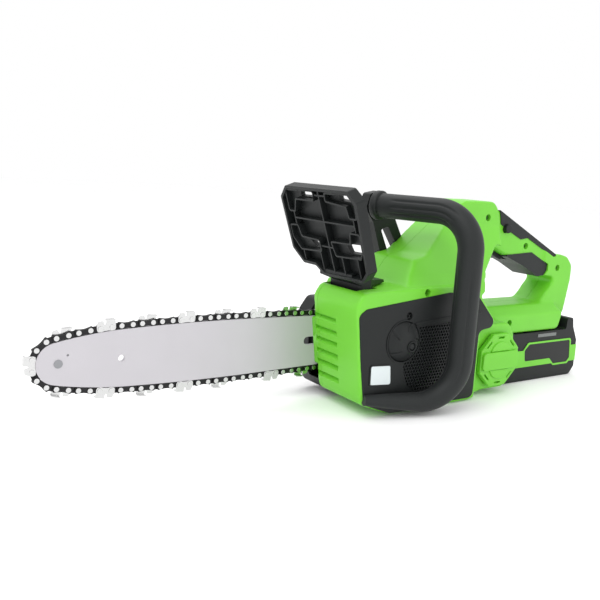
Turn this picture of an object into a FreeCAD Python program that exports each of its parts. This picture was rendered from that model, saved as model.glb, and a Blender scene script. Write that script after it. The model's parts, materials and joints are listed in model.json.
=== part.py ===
import FreeCAD, Part
import math
import os

# Cordless chainsaw. Millimetres. The bar points along -X, +Z is up, and the left
# side of the saw, with the wrap handle and the oil cap, is the -Y side.
# The origin is on the flat underside, below the axis of the drive sprocket and in
# the middle plane of the guide bar.

V = FreeCAD.Vector
LATERAL = V(0, 1, 0)
UP = V(0, 0, 1)
REARWARD = V(1, 0, 0)

# ---------------------------------------------------------------- fits
RUN_FIT = 0.05          # radial clearance of a pin or shaft that turns
SLIDE_GAP = 0.4         # gap beside pieces that slide or swing
SEAT_GAP = 0.15         # gap round pieces that sit in a pocket

# ---------------------------------------------------------------- chain and bar
BAR_Z = 61.0            # bar centreline above the underside
STRAP_PITCH = 10.35     # rivet spacing in a tie strap or cutter
LINK_PITCH = 8.70       # rivet spacing in a drive link
DRIVE_LINKS = 45        # drive links in the closed chain
CHAIN_PHASE = -215.0    # where the first rivet lies along the chain line
NOSE_TEETH = 7
DRIVE_TEETH = 7
NOSE_RIVET_R = 21.96    # rivet line round the nose
DRIVE_RIVET_R = 21.50   # rivet line round the drive sprocket
RIVET_TO_RAIL = 3.3     # rivet line above the bar's rail
TANG_DEPTH = 7.6        # drive link's tang below the rivet line
GROOVE_DEPTH = 6.2      # bar groove below the rail
BAR_THICK = 4.0
GROOVE_WIDTH = 1.5
LINK_THICK = 1.2
STRAP_THICK = 1.1
RIVET_R = 1.45
RIVET_HEAD_R = 2.3
RIVET_HEAD = 0.5
# The side of the bar is a run of tangent arcs, given as slope (degrees) and radius.
NOSE_SLOPE = 12.0
SHOULDER_R = 385.0
SHOULDER_SLOPE = 2.3
BELLY_R = 2118.0
HIP_R = 3890.0
HIP_SLOPE = 1.75
TAIL_R = 450.0
TAIL_SLOPE = 5.2
BAR_TAIL_GAP = 31.0     # bar's rear end in front of the sprocket axis
STUD_R = 4.0            # studs that the bar's slot slides on
STUD_PLAY = 0.25
SLOT_HEIGHT = 2 * (STUD_R + STUD_PLAY)
SLOT_LENGTH = 58.0
SLOT_FRONT = 110.0      # slot's front end ahead of the sprocket axis
TENSION_HOLE_R = 3.2
TENSION_HOLE_Z = 16.0
NOSE_HUB_R = 6.5
NOSE_RIVET_SHANK_R = 1.6
NOSE_HEAD_R = 3.8       # peened heads of the nose rivet
BAR_MARK_R = 3.0        # round hole behind the nose
TIP_CLEARANCE = 0.8     # tooth tips under the tangs

# ---------------------------------------------------------------- housing
WALL = 3.0
SPLIT_Y = -15.0         # middle plane of the rear handle, battery and housing split
LEFT_Y = -80.0          # left face of the motor housing
RIGHT_Y = -7.0          # right face beside the chain
SHOULDER_FRONT_X = -78.0
SHOULDER_Y = 22.0       # right face above the sprocket cover
TOP_Z = 124.0           # top of the motor housing
FRONT_X = -106.0        # front face at its top
FRONT_RAKE = 14.0       # the front face's foot behind its top
REAR_X = 78.0           # rear of the motor housing
RISER_HALF = 24.0       # half widths about the split plane
GRIP_HALF = 18.0
POST_HALF = 21.0
BASE_HALF = 35.0
TANK_LEFT_Y = -72.0

# ---------------------------------------------------------------- rear handle
RISER_TOP_Z = 212.0
RISER_FRONT_X = 79.0
RISER_REAR_X = 126.0
GRIP_REAR = (244.0, 149.5)
REAR_END_X = 270.0
BASE_TOP_Z = 92.0
BASE_BOTTOM_Z = 60.0
BASE_REAR_X = 240.0

# ---------------------------------------------------------------- battery
BATT_FRONT_X = 140.0
BATT_REAR_X = 275.0
BATT_HALF = 36.5
BATT_TOP_Z = 59.0
HUMP_TOP_Z = 73.0       # raised rear end of the battery, with the latch
BAND_LOW_Z = 17.5
BAND_HIGH_Z = 38.0
BAND_PROUD = 0.8
CASE_WALL = 2.5
CELL_R = 9.0
CELL_LENGTH = 65.0
CELLS_PER_ROW = 5

# ---------------------------------------------------------------- drive
MODULE = 1.25
PINION_TEETH = 13
GEAR_TEETH = 56
MOTOR_ANGLE = 161.0     # direction of the motor axis from the sprocket axis
GEAR_Y = (-24.0, -16.0)
MOTOR_Y = (-69.0, -31.0)
MOTOR_R = 31.0
MOTOR_SHAFT_R = 4.0
SPINDLE_R = 5.0

# ---------------------------------------------------------------- wrap handle
TUBE_R = 13.0
HANDLE_TOP_Z = 202.0
HANDLE_RIGHT = (-25.0, 14.0)
HANDLE_LEG = (11.0, -105.0)
HANDLE_CORNER_R = 38.0
HANDLE_FOOT_R = 42.0
HANDLE_TOE = (-90.0, -84.0)
HANDLE_TOE_Z = 18.0
STRUT_Y = (5.0, 18.0)

# ---------------------------------------------------------------- hand guard
GUARD_LEFT_Y = -97.0
GUARD_RIGHT_Y = 28.0
GUARD_TOP = (-133.0, 218.0)
GUARD_FOOT = (-103.0, 134.0)
GUARD_DEPTH = 11.0
GUARD_RIM = 3.0
GUARD_SKIN = 2.4
GUARD_WALL = 1.6
GUARD_PIVOT = (-82.0, 112.0)
GUARD_HUB_R = 7.0
GUARD_FOOT_Y = (-64.0, -12.0)
GUARD_PIN_R = 3.0


# ================================================================ small helpers
def box(x0, x1, y0, y1, z0, z1):
    return Part.makeBox(x1 - x0, y1 - y0, z1 - z0, V(x0, y0, z0))


def rod(x, z, radius, y0, y1):
    """Round bar lying along Y."""
    return Part.makeCylinder(radius, y1 - y0, V(x, y0, z), LATERAL)


def ring(x, z, outer, inner, y0, y1):
    return rod(x, z, outer, y0, y1).cut(rod(x, z, inner, y0 - 1, y1 + 1))


def upright(x, y, radius, z0, z1):
    return Part.makeCylinder(radius, z1 - z0, V(x, y, z0), UP)


def lengthwise(y, z, radius, x0, x1):
    return Part.makeCylinder(radius, x1 - x0, V(x0, y, z), REARWARD)


def side_wire(points, y, round_off=0.0):
    """Closed wire in a plane of constant Y from (x, z) corners, each rounded."""
    corners = [V(x, y, z) for x, z in points]
    count = len(corners)
    ends = []
    for i, corner in enumerate(corners):
        before = corners[i - 1]
        after = corners[(i + 1) % count]
        back = (before - corner).normalize()
        ahead = (after - corner).normalize()
        if round_off <= 0.0:
            ends.append((corner, corner, corner))
            continue
        half = back.getAngle(ahead) / 2.0
        reach = min(round_off / math.tan(half), (before - corner).Length * 0.45,
                    (after - corner).Length * 0.45)
        radius = reach * math.tan(half)
        inward = (back + ahead).normalize()
        centre = corner + inward * (radius / math.sin(half))
        middle = centre - inward * radius
        ends.append((corner + back * reach, middle, corner + ahead * reach))
    edges = []
    for i in range(count):
        enter, middle, leave = ends[i]
        if (enter - leave).Length > 1e-6:
            edges.append(Part.Arc(enter, middle, leave).toShape())
        start = leave
        finish = ends[(i + 1) % count][0]
        if (start - finish).Length > 1e-6:
            edges.append(Part.LineSegment(start, finish).toShape())
    return Part.Wire(edges)


def side_plate(points, y0, y1, round_off=0.0, inset=0.0):
    """Solid between two planes of constant Y; inset shrinks it all round."""
    wire = side_wire(points, y0 + inset, round_off)
    face = Part.Face(wire)
    if inset:
        face = Part.Face(wire.makeOffset2D(-inset, 0, False, False, True))
    return oriented(face.extrude(V(0, y1 - y0 - 2 * inset, 0)))


def oriented(solid):
    if solid.Volume < 0:
        solid.reverse()
    return solid


def joined(shapes):
    first = shapes[0]
    rest = shapes[1:]
    if not rest:
        return first
    return first.fuse(rest).removeSplitter()


def largest(shape):
    return max(shape.Solids, key=lambda solid: solid.Volume)


def save(name, shape):
    shape.exportStep(os.path.join("parts", name + ".step"))
    print(name, len(shape.Solids), round(shape.Volume), shape.isValid())


def group(shapes):
    solids = []
    for shape in shapes:
        solids.extend(shape.Solids)
    return Part.makeCompound(solids)


def polar(radius, angle):
    return radius * math.cos(angle), radius * math.sin(angle)


# ================================================================ chain line
def upper_side():
    """Tangent stretches of the upper chain line, nose to sprocket, before the flat.

    Each is (length, start x, start z, start slope, signed curvature); x is measured
    from the nose centre, and slopes fall as the line runs to the rear.
    """
    stretches = []
    slope = math.radians(90.0)
    x, z = -NOSE_RIVET_R, 0.0
    plan = [(NOSE_RIVET_R, NOSE_SLOPE), (SHOULDER_R, SHOULDER_SLOPE), (BELLY_R, 0.0)]
    for radius, end_slope in plan:
        end = math.radians(end_slope)
        stretches.append(((slope - end) * radius, x, z, slope, 1.0 / radius))
        x += radius * (math.sin(slope) - math.sin(end))
        z += radius * (math.cos(end) - math.cos(slope))
        slope = end
    return stretches, x, z


def tail_side(x, z):
    """Stretches from the flat to the drive sprocket; returns them and its axis."""
    stretches = []
    slope = 0.0
    for radius, fall in [(HIP_R, HIP_SLOPE), (TAIL_R, TAIL_SLOPE)]:
        end = -math.radians(fall)
        stretches.append(((slope - end) * radius, x, z, slope, 1.0 / radius))
        x += radius * (math.sin(slope) - math.sin(end))
        z += radius * (math.cos(end) - math.cos(slope))
        slope = end
    run = (z - DRIVE_RIVET_R * math.cos(slope)) / -math.sin(slope)
    stretches.append((run, x, z, slope, 0.0))
    x += run * math.cos(slope)
    z += run * math.sin(slope)
    axis_x = x + DRIVE_RIVET_R * math.sin(slope)
    wrap = slope + math.radians(90.0)
    stretches.append((wrap * DRIVE_RIVET_R, x, z, slope, 1.0 / DRIVE_RIVET_R))
    return stretches, axis_x


def chain_line(flat):
    """The upper half of the chain line with a level stretch of the given length."""
    front, x, z = upper_side()
    level = [(flat, x, z, 0.0, 0.0)]
    rear, axis_x = tail_side(x + flat, z)
    return front + level + rear, axis_x


def half_length(stretches):
    return sum(stretch[0] for stretch in stretches)


def point_on(stretches, distance):
    """Point of the closed line, by distance from the nose along its upper side."""
    half = half_length(stretches)
    distance = distance % (2 * half)
    mirror = 1.0
    if distance > half:
        distance = 2 * half - distance
        mirror = -1.0
    for length, x, z, slope, curve in stretches:
        if distance <= length:
            break
        distance -= length
    distance = min(distance, length)
    if curve == 0.0:
        return (x + distance * math.cos(slope), mirror * (z + distance * math.sin(slope)))
    turned = slope - distance * curve
    return (x + (math.sin(slope) - math.sin(turned)) / curve,
            mirror * (z + (math.cos(turned) - math.cos(slope)) / curve))


def next_rivet(stretches, distance, chord):
    start = point_on(stretches, distance)
    low, high = chord * 0.9, chord * 1.1
    for _ in range(30):
        trial = (low + high) / 2
        end = point_on(stretches, distance + trial)
        if math.hypot(end[0] - start[0], end[1] - start[1]) < chord:
            low = trial
        else:
            high = trial
    return distance + trial


def rivet_walk(stretches):
    """Distances of all rivets: strap, link, strap, link... round the closed line."""
    distances = [CHAIN_PHASE]
    for _ in range(DRIVE_LINKS):
        distances.append(next_rivet(stretches, distances[-1], STRAP_PITCH))
        distances.append(next_rivet(stretches, distances[-1], LINK_PITCH))
    return distances


def closed_chain():
    """Level stretch that makes the chain meet itself, and the rivets on it."""
    low, high = 0.0, DRIVE_LINKS * (STRAP_PITCH + LINK_PITCH) / 2
    for _ in range(40):
        flat = (low + high) / 2
        stretches, axis_x = chain_line(flat)
        walk = rivet_walk(stretches)
        if walk[-1] - walk[0] > 2 * half_length(stretches):
            low = flat
        else:
            high = flat
    return stretches, axis_x, walk[:-1]


LINE, AXIS_X, RIVETS = closed_chain()
NOSE_X = -AXIS_X


def rivet_points():
    points = []
    for distance in RIVETS:
        x, z = point_on(LINE, distance)
        points.append(V(NOSE_X + x, 0, BAR_Z + z))
    return points


# ================================================================ chain
def on_link(shape, first, second):
    """Move a link from its own place, rivet 1 at the origin and rivet 2 on +X."""
    angle = -math.atan2(second.z - first.z, second.x - first.x)
    placed = shape.copy()
    placed.rotate(V(0, 0, 0), LATERAL, math.degrees(angle))
    placed.translate(first)
    return placed


def rivet_holes(pitch):
    radius = RIVET_R + RUN_FIT
    return [rod(0, 0, radius, -9, 9), rod(pitch, 0, radius, -9, 9)]


def strap_outline(pitch):
    """Waisted plate: a round end at each rivet and a slimmer middle."""
    end = RIVET_TO_RAIL
    return [(-end, -0.8), (-end * 0.75, -end * 0.85), (0.5, 0.1 - end), (pitch * 0.3, -2.5),
            (pitch * 0.7, -2.5), (pitch - 0.5, 0.1 - end),
            (pitch + end * 0.75, -end * 0.85), (pitch + end, -0.8),
            (pitch + end, 1.2), (pitch + end * 0.7, end * 0.95), (pitch * 0.66, end * 0.62),
            (pitch * 0.34, end * 0.62), (-end * 0.7, end * 0.95), (-end, 1.2)]


def strap_plate(side):
    inner = LINK_THICK / 2 + 0.05
    low, high = (inner, inner + STRAP_THICK)
    if side < 0:
        low, high = (-high, -low)
    plate = side_plate(strap_outline(STRAP_PITCH), low, high, 0.8)
    return plate.cut(rivet_holes(STRAP_PITCH))


def drive_link():
    """Centre plate whose hooked tang runs in the bar groove."""
    top = 2.6
    outline = [(-2.6, 1.6), (-1.2, top), (LINK_PITCH + 1.2, top), (LINK_PITCH + 2.6, 1.6),
               (LINK_PITCH + 2.7, -1.6), (LINK_PITCH * 0.92, -4.6),
               (LINK_PITCH * 0.60, -TANG_DEPTH), (LINK_PITCH * 0.36, -TANG_DEPTH),
               (LINK_PITCH * 0.30, -4.6), (-0.4, -3.4), (-2.7, -1.6)]
    plate = side_plate(outline, -LINK_THICK / 2, LINK_THICK / 2, 0.7)
    return plate.cut(rivet_holes(LINK_PITCH))


def cutter(side):
    """Cutter plate with a depth gauge ahead and an overhanging top plate behind."""
    inner = LINK_THICK / 2 + 0.05
    end = RIVET_TO_RAIL
    low, high = inner, inner + STRAP_THICK
    tail = STRAP_PITCH + end
    body = [(-end, -1.0), (-end * 0.75, -end * 0.85), (0.5, 0.1 - end), (STRAP_PITCH * 0.3, -2.5),
            (STRAP_PITCH * 0.7, -2.5), (STRAP_PITCH - 0.5, 0.1 - end),
            (STRAP_PITCH + end * 0.75, -end * 0.85), (tail, -1.0), (tail + 0.3, 6.4),
            (STRAP_PITCH - 4.3, 7.2), (STRAP_PITCH - 5.2, 3.2), (STRAP_PITCH * 0.40, 2.4),
            (STRAP_PITCH * 0.28, 6.4), (-1.4, 6.1), (-end, 2.2)]
    plate = side_plate(body, low, high, 0.6)
    top = [(tail + 0.3, 5.5), (tail + 0.3, 6.5),
           (STRAP_PITCH - 4.3, 7.3), (STRAP_PITCH - 4.5, 6.3)]
    roof = side_plate(top, -3.6, high)
    piece = joined([plate, roof]).cut(rivet_holes(STRAP_PITCH))
    if side < 0:
        piece = piece.mirror(V(0, 0, 0), LATERAL)
    return piece


def rivet():
    half = LINK_THICK / 2 + 0.05 + STRAP_THICK
    body = rod(0, 0, RIVET_R, -half, half)
    heads = [rod(0, 0, RIVET_HEAD_R, half, half + RIVET_HEAD),
             rod(0, 0, RIVET_HEAD_R, -half - RIVET_HEAD, -half)]
    return joined([body] + heads)


def make_chain():
    points = rivet_points()
    count = len(points)
    near, far = strap_plate(-1), strap_plate(1)
    near_cutter, far_cutter = cutter(-1), cutter(1)
    link, pin = drive_link(), rivet()
    straps, links, near_teeth, far_teeth, pins = [], [], [], [], []
    for i in range(0, count, 2):
        # Numbered against the direction of travel, so that each cutter's depth
        # gauge leads: the upper run travels forward, to the nose.
        first, second = points[i], points[i + 1]
        third = points[(i + 2) % count]
        kind = (i // 2) % 4
        if kind == 3:
            near_teeth.append(on_link(near_cutter, first, second))
            straps.append(on_link(far, first, second))
        elif kind == 1:
            far_teeth.append(on_link(far_cutter, first, second))
            straps.append(on_link(near, first, second))
        else:
            straps.append(on_link(near, first, second))
            straps.append(on_link(far, first, second))
        links.append(on_link(link, second, third))
        for point in (first, second):
            pin_here = pin.copy()
            pin_here.translate(point)
            pins.append(pin_here)
    save("chain_tie_straps", group(straps))
    save("chain_drive_links", group(links))
    save("chain_left_cutters", group(near_teeth))
    save("chain_right_cutters", group(far_teeth))
    save("chain_rivets", group(pins))


# ================================================================ guide bar
def bar_outline(drop):
    """Closed wire a given distance inside the chain line, square at the tail."""
    tail_x = -BAR_TAIL_GAP
    upper = []
    for length, x, z, slope, curve in LINE[:-2]:
        ends = []
        for part in (0.0, 0.5, 1.0):
            turned = slope - length * part * curve
            if curve:
                px = x + (math.sin(slope) - math.sin(turned)) / curve
                pz = z + (math.cos(turned) - math.cos(slope)) / curve
            else:
                px = x + length * part * math.cos(slope)
                pz = z + length * part * math.sin(slope)
            ends.append(V(NOSE_X + px + drop * math.sin(turned), 0, pz - drop * math.cos(turned)))
        upper.append((ends, curve))
    return upper, tail_x


def bar_wire(drop):
    upper, tail_x = bar_outline(drop)
    edges = []
    lower = []
    for ends, curve in upper:
        low_ends = [V(p.x, 0, -p.z) for p in ends]
        for points, bucket in ((ends, edges), (low_ends, lower)):
            if curve:
                bucket.append(Part.Arc(points[0], points[1], points[2]).toShape())
            else:
                bucket.append(Part.LineSegment(points[0], points[2]).toShape())
    last = upper[-1][0][2]
    tail_top = V(tail_x - drop, 0, last.z - (tail_x - drop - last.x) * 0.25)
    tail_low = V(tail_top.x, 0, -tail_top.z)
    low_last = V(last.x, 0, -last.z)
    edges.append(Part.LineSegment(last, tail_top).toShape())
    edges.append(Part.LineSegment(tail_top, tail_low).toShape())
    edges.append(Part.LineSegment(tail_low, low_last).toShape())
    edges.extend(reversed(lower))
    wire = Part.Wire(Part.__sortEdges__(edges))
    wire.translate(V(0, 0, BAR_Z))
    return wire


def bar_slab(drop, thickness):
    wire = bar_wire(drop)
    wire.translate(V(0, -thickness / 2, 0))
    return oriented(Part.Face(wire).extrude(V(0, thickness, 0)))


def slot_shape(x0, x1, height, y0, y1):
    radius = height / 2
    middle = box(x0 + radius, x1 - radius, y0, y1, BAR_Z - radius, BAR_Z + radius)
    return joined([middle, rod(x0 + radius, BAR_Z, radius, y0, y1),
                   rod(x1 - radius, BAR_Z, radius, y0, y1)])


def make_bar():
    slab = bar_slab(RIVET_TO_RAIL, BAR_THICK)
    core = bar_slab(RIVET_TO_RAIL + GROOVE_DEPTH, GROOVE_WIDTH)
    frame = bar_slab(RIVET_TO_RAIL - 2, GROOVE_WIDTH)
    groove = frame.cut(core)
    pocket = rod(NOSE_X, BAR_Z, NOSE_RIVET_R - RIVET_TO_RAIL - 1, -GROOVE_WIDTH / 2, GROOVE_WIDTH / 2)
    slot = slot_shape(-SLOT_FRONT, -SLOT_FRONT + SLOT_LENGTH, SLOT_HEIGHT, -9, 9)
    holes = [rod(TENSION_X, BAR_Z + sign * TENSION_HOLE_Z, TENSION_HOLE_R, -9, 9)
             for sign in (-1, 1)]
    mark = rod(NOSE_X + 55.6, BAR_Z, BAR_MARK_R, -9, 9)
    grease_hole = rod(NOSE_X + 8.0, BAR_Z + 7.0, 1.0, -9, 9)
    rivet_hole = rod(NOSE_X, BAR_Z, NOSE_RIVET_SHANK_R + 0.01, -9, 9)
    bar = slab.cut([groove, pocket, slot, mark, grease_hole, rivet_hole] + holes)
    save("guide_bar", largest(bar))
    hub = rod(NOSE_X, BAR_Z, NOSE_HUB_R, -LINK_THICK / 2, LINK_THICK / 2)
    half = BAR_THICK / 2
    axle = rod(NOSE_X, BAR_Z, NOSE_RIVET_SHANK_R, -half, half)
    heads = [rod(NOSE_X, BAR_Z, NOSE_HEAD_R, y, y + 0.3) for y in (half, -half - 0.3)]
    save("nose_axle", joined([hub, axle] + heads))
    tip = NOSE_RIVET_R - TANG_DEPTH - TIP_CLEARANCE
    star = star_wheel(tip, tip - 4.0, NOSE_TEETH, -LINK_THICK / 2, LINK_THICK / 2)
    star = star.cut(rod(0, 0, NOSE_HUB_R + RUN_FIT, -9, 9))
    star.translate(V(NOSE_X, 0, BAR_Z))
    save("nose_sprocket", star)


def star_wheel(tip, root, teeth, y0, y1):
    """Toothed wheel about the origin with blunt teeth."""
    points = []
    for i in range(teeth):
        centre = 2 * math.pi * i / teeth
        step = math.pi / teeth
        points.append(polar(root, centre - step * 0.75))
        points.append(polar(tip, centre - step * 0.28))
        points.append(polar(tip, centre + step * 0.28))
        points.append(polar(root, centre + step * 0.75))
    return side_plate(points, y0, y1)


# ================================================================ gears
def involute_at(base, radius):
    turn = math.sqrt(max((radius / base) ** 2 - 1.0, 0.0))
    return turn - math.atan(turn)


def gear_solid(teeth, y0, y1, phase):
    """Spur gear about the origin with involute flanks; phase turns one tooth to it."""
    pitch_r = MODULE * teeth / 2
    base = pitch_r * math.cos(math.radians(20.0))
    tip = pitch_r + MODULE * 0.9
    root = pitch_r - MODULE * 1.2
    backlash = 0.10 / pitch_r
    half_tooth = math.pi / (2 * teeth) - backlash / 2
    start = max(base, root)
    radii = [start + (tip - start) * part for part in (0.0, 0.35, 0.7, 1.0)]
    at_pitch = involute_at(base, pitch_r)
    points = []
    for i in range(teeth):
        middle = phase + 2 * math.pi * i / teeth
        rising = [(r, middle - half_tooth - at_pitch + involute_at(base, r)) for r in radii]
        falling = [(r, 2 * middle - angle) for r, angle in reversed(rising)]
        if root < base - 0.05:
            rising = [(root, rising[0][1])] + rising
            falling = falling + [(root, falling[-1][1])]
        points.extend(polar(r, angle) for r, angle in rising + falling)
    return side_plate(points, y0, y1)


def motor_axis():
    reach = MODULE * (PINION_TEETH + GEAR_TEETH) / 2
    x, z = polar(reach, math.radians(MOTOR_ANGLE))
    return x, BAR_Z + z


def make_drive():
    mx, mz = motor_axis()
    toward_motor = math.radians(MOTOR_ANGLE)
    gear = gear_solid(GEAR_TEETH, GEAR_Y[0], GEAR_Y[1], toward_motor)
    gear = gear.cut(rod(0, 0, SPINDLE_R, -99, 99))
    gear.translate(V(0, 0, BAR_Z))
    save("reduction_gear", gear)
    gap_phase = toward_motor + math.pi + math.pi / PINION_TEETH
    pinion = gear_solid(PINION_TEETH, GEAR_Y[0] - 1, GEAR_Y[1] + 1, gap_phase)
    pinion = pinion.cut(rod(0, 0, MOTOR_SHAFT_R, -99, 99))
    pinion.translate(V(mx, 0, mz))
    save("motor_pinion", pinion)
    tip = DRIVE_RIVET_R - TANG_DEPTH - TIP_CLEARANCE
    star = star_wheel(tip, tip - 4.0, DRIVE_TEETH, -3, 3).cut(rod(0, 0, SPINDLE_R, -9, 9))
    star.translate(V(0, 0, BAR_Z))
    save("drive_sprocket", star)
    spindle = joined([rod(0, BAR_Z, SPINDLE_R, -32.5, 9.0), rod(0, BAR_Z, SPINDLE_R + 2, -15.9, -13.1)])
    spindle = spindle.cut(ring(0, BAR_Z, SPINDLE_R + 1, SPINDLE_R - 0.6, 3.6, 4.8))
    save("sprocket_spindle", spindle)
    clip = ring(0, BAR_Z, SPINDLE_R + 1.8, SPINDLE_R - 0.55, 3.65, 4.75)
    clip = clip.cut(box(-1.5, 1.5, 0, 9, BAR_Z - 12, BAR_Z))
    save("sprocket_clip", clip)
    seats = [(-32.0, -27.0), (-13.0, -8.0)]
    save("spindle_bearings", group([ring(0, BAR_Z, 11.0, SPINDLE_R + RUN_FIT, a, b) for a, b in seats]))
    make_motor(mx, mz)


def make_motor(mx, mz):
    front, rear = MOTOR_Y
    rotor_r, stator_in = 15.5, 16.2
    can = ring(mx, mz, MOTOR_R, MOTOR_R - 1.5, front, rear)
    end = ring(mx, mz, MOTOR_R - 1.5, 8.5, front, front + 2)
    save("motor_can", joined([can, end]))
    yoke = ring(mx, mz, MOTOR_R - 1.6, 24.0, front + 7, rear - 7)
    teeth = []
    coils = []
    for i in range(6):
        tooth = box(stator_in, 24.5, front + 7, rear - 7, -3.0, 3.0)
        coil = box(18.0, 23.4, front + 4.5, rear - 4.5, -5.4, 5.4)
        coil = coil.cut(box(17.0, 25.0, front + 6.9, rear - 6.9, -3.1, 3.1))
        for shape, bucket in ((tooth, teeth), (coil, coils)):
            shape.rotate(V(0, 0, 0), LATERAL, 60 * i)
            shape.translate(V(mx, 0, mz))
            bucket.append(shape)
    save("motor_stator", joined([yoke] + teeth))
    save("motor_windings", group(coils))
    magnet = rod(mx, mz, rotor_r, front + 8, rear - 8)
    shaft = rod(mx, mz, MOTOR_SHAFT_R, front - 6.5, GEAR_Y[1] + 1)
    save("motor_rotor", joined([magnet, shaft]))
    seats = [(front + 0.1, front + 5.1), (rear - 1, rear + 4)]
    save("motor_bearings", group([ring(mx, mz, 8.5, MOTOR_SHAFT_R + RUN_FIT, a, b) for a, b in seats]))
    save("motor_fan", fan(mx, mz, front - 6.5, front - 1.0))
    make_gear_case(mx, mz)


def fan(mx, mz, y0, y1):
    hub = ring(mx, mz, 9.0, MOTOR_SHAFT_R, y0, y1)
    disc = ring(mx, mz, 25.0, 8.0, y1 - 1.2, y1)
    blades = []
    for i in range(11):
        blade = box(8.0, 25.0, y0, y1 - 1.0, -0.6, 0.6)
        blade.rotate(V(8, 0, 0), LATERAL, 25)
        blade.rotate(V(0, 0, 0), LATERAL, i * 360.0 / 11)
        blade.translate(V(mx, 0, mz))
        blades.append(blade)
    return joined([hub, disc] + blades).common(rod(mx, mz, 25.0, y0, y1))


def make_gear_case(mx, mz):
    """Aluminium plate that carries the motor and the rear spindle bearing."""
    y0, y1 = MOTOR_Y[1] + 0.2, MOTOR_Y[1] + 3.8
    plate = joined([rod(mx, mz, 30.0, y0, y1), rod(0, BAR_Z, 20.0, y0, y1),
                    box(mx, 0, y0, y1, BAR_Z - 18, BAR_Z + 30)])
    rim = rod(0, BAR_Z, 14.0, -33.5, y0).cut(rod(mx, mz, MOTOR_R + SEAT_GAP, -40, y0))
    plate = joined([plate, rim])
    holes = [rod(mx, mz, 8.5, y0 - 9, y1 + 9), rod(0, BAR_Z, 11.0, -32.0, y1 + 9),
             rod(0, BAR_Z, SPINDLE_R + 1, -40, y1)]
    save("gear_case", plate.cut(holes))


# ================================================================ housing
def block_outline():
    foot_x = FRONT_X + FRONT_RAKE
    return [(foot_x, 13.0), (FRONT_X, TOP_Z - 10), (FRONT_X + 9, TOP_Z), (-30.0, TOP_Z + 2),
            (REAR_X - 26, TOP_Z + 2), (REAR_X + 16, 80.0), (REAR_X + 10, 6.0),
            (REAR_X - 20, 0.0), (-58.0, 0.0)]


def riser_outline():
    return [(-44.0, TOP_Z - 14), (-44.0, TOP_Z), (-38.0, TOP_Z + 3), (-18.0, 151.0), (0.0, 155.0),
            (36.0, 184.0), (RISER_FRONT_X - 14, RISER_TOP_Z), (RISER_REAR_X - 13, RISER_TOP_Z),
            (RISER_REAR_X - 6, 204.0), (RISER_REAR_X, 186.0), (RISER_REAR_X - 6, 161.0),
            (84.0, 136.0), (66.0, 116.0), (48.0, TOP_Z - 14)]


def loop_outline():
    rear_x, rear_z = GRIP_REAR
    return [(RISER_FRONT_X - 25, 112.0), (RISER_FRONT_X + 10, RISER_TOP_Z - 4),
            (RISER_REAR_X, RISER_TOP_Z - 8.5), (rear_x - 8, rear_z), (rear_x + 2, rear_z + 1),
            (REAR_END_X - 11, rear_z - 2), (REAR_END_X - 1, 137.0), (REAR_END_X, 122.0),
            (REAR_END_X - 8, HUMP_TOP_Z + 1.5), (REAR_END_X - 20, HUMP_TOP_Z + 1.5),
            (REAR_END_X - 24, BASE_BOTTOM_Z + 4), (150.0, BASE_BOTTOM_Z + 4), (84.0, 84.0)]


def grip_gap():
    """The finger opening inside the rear handle, seen from the side."""
    return [(113.0, 166.0), (148.0, 150.0), (177.0, 139.0), (207.0, 125.0), (231.0, 124.0), (236.0, 117.0),
            (213.0, BASE_TOP_Z), (98.0, BASE_TOP_Z), (70.0, 114.0), (84.0, 137.0)]


def base_outline():
    return [(88.0, BASE_TOP_Z - 2), (98.0, BASE_TOP_Z), (BASE_REAR_X - 2, BASE_TOP_Z),
            (BASE_REAR_X + 3, BASE_TOP_Z - 12), (BASE_REAR_X - 3, BASE_BOTTOM_Z), (112.0, BASE_BOTTOM_Z),
            (84.0, 66.0)]


def tank_outline():
    return [(62.0, 12.0), (62.0, 74.0), (72.0, 82.0), (122.0, 82.0), (136.0, 66.0),
            (136.0, 20.0), (122.0, 4.0), (74.0, 4.0)]


def riser_sides(inset):
    """Taper of the riser: wide at the motor housing and narrow at its top."""
    left = LEFT_Y + inset
    right = SHOULDER_Y - inset
    high = RISER_TOP_Z + 5
    narrow_left = SPLIT_Y - RISER_HALF + inset
    narrow_right = SPLIT_Y + RISER_HALF - inset
    low = TOP_Z - 20
    corners = [(left, low), (left, TOP_Z - 6), (left + 16, TOP_Z + 12), (narrow_left, 185.0),
               (narrow_left, high), (narrow_right, high), (narrow_right, TOP_Z + 20),
               (right, TOP_Z + 2), (right, low)]
    wire = Part.makePolygon([V(-60, y, z) for y, z in corners + corners[:1]])
    return oriented(Part.Face(wire).extrude(V(260, 0, 0)))


def base_sides(inset):
    """Cross-section of the battery base, with sloping shoulders."""
    left = SPLIT_Y - BASE_HALF + inset
    right = SPLIT_Y + BASE_HALF - inset
    shoulder = 14.0 + inset * 0.5
    corners = [(left, 0.0), (left, BASE_TOP_Z - 11 - inset * 0.5), (left + shoulder, BASE_TOP_Z + 1),
               (right - shoulder, BASE_TOP_Z + 1), (right, BASE_TOP_Z - 11 - inset * 0.5), (right, 0.0)]
    wire = Part.makePolygon([V(60, y, z) for y, z in corners + corners[:1]])
    return oriented(Part.Face(wire).extrude(V(260, 0, 0)))


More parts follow.
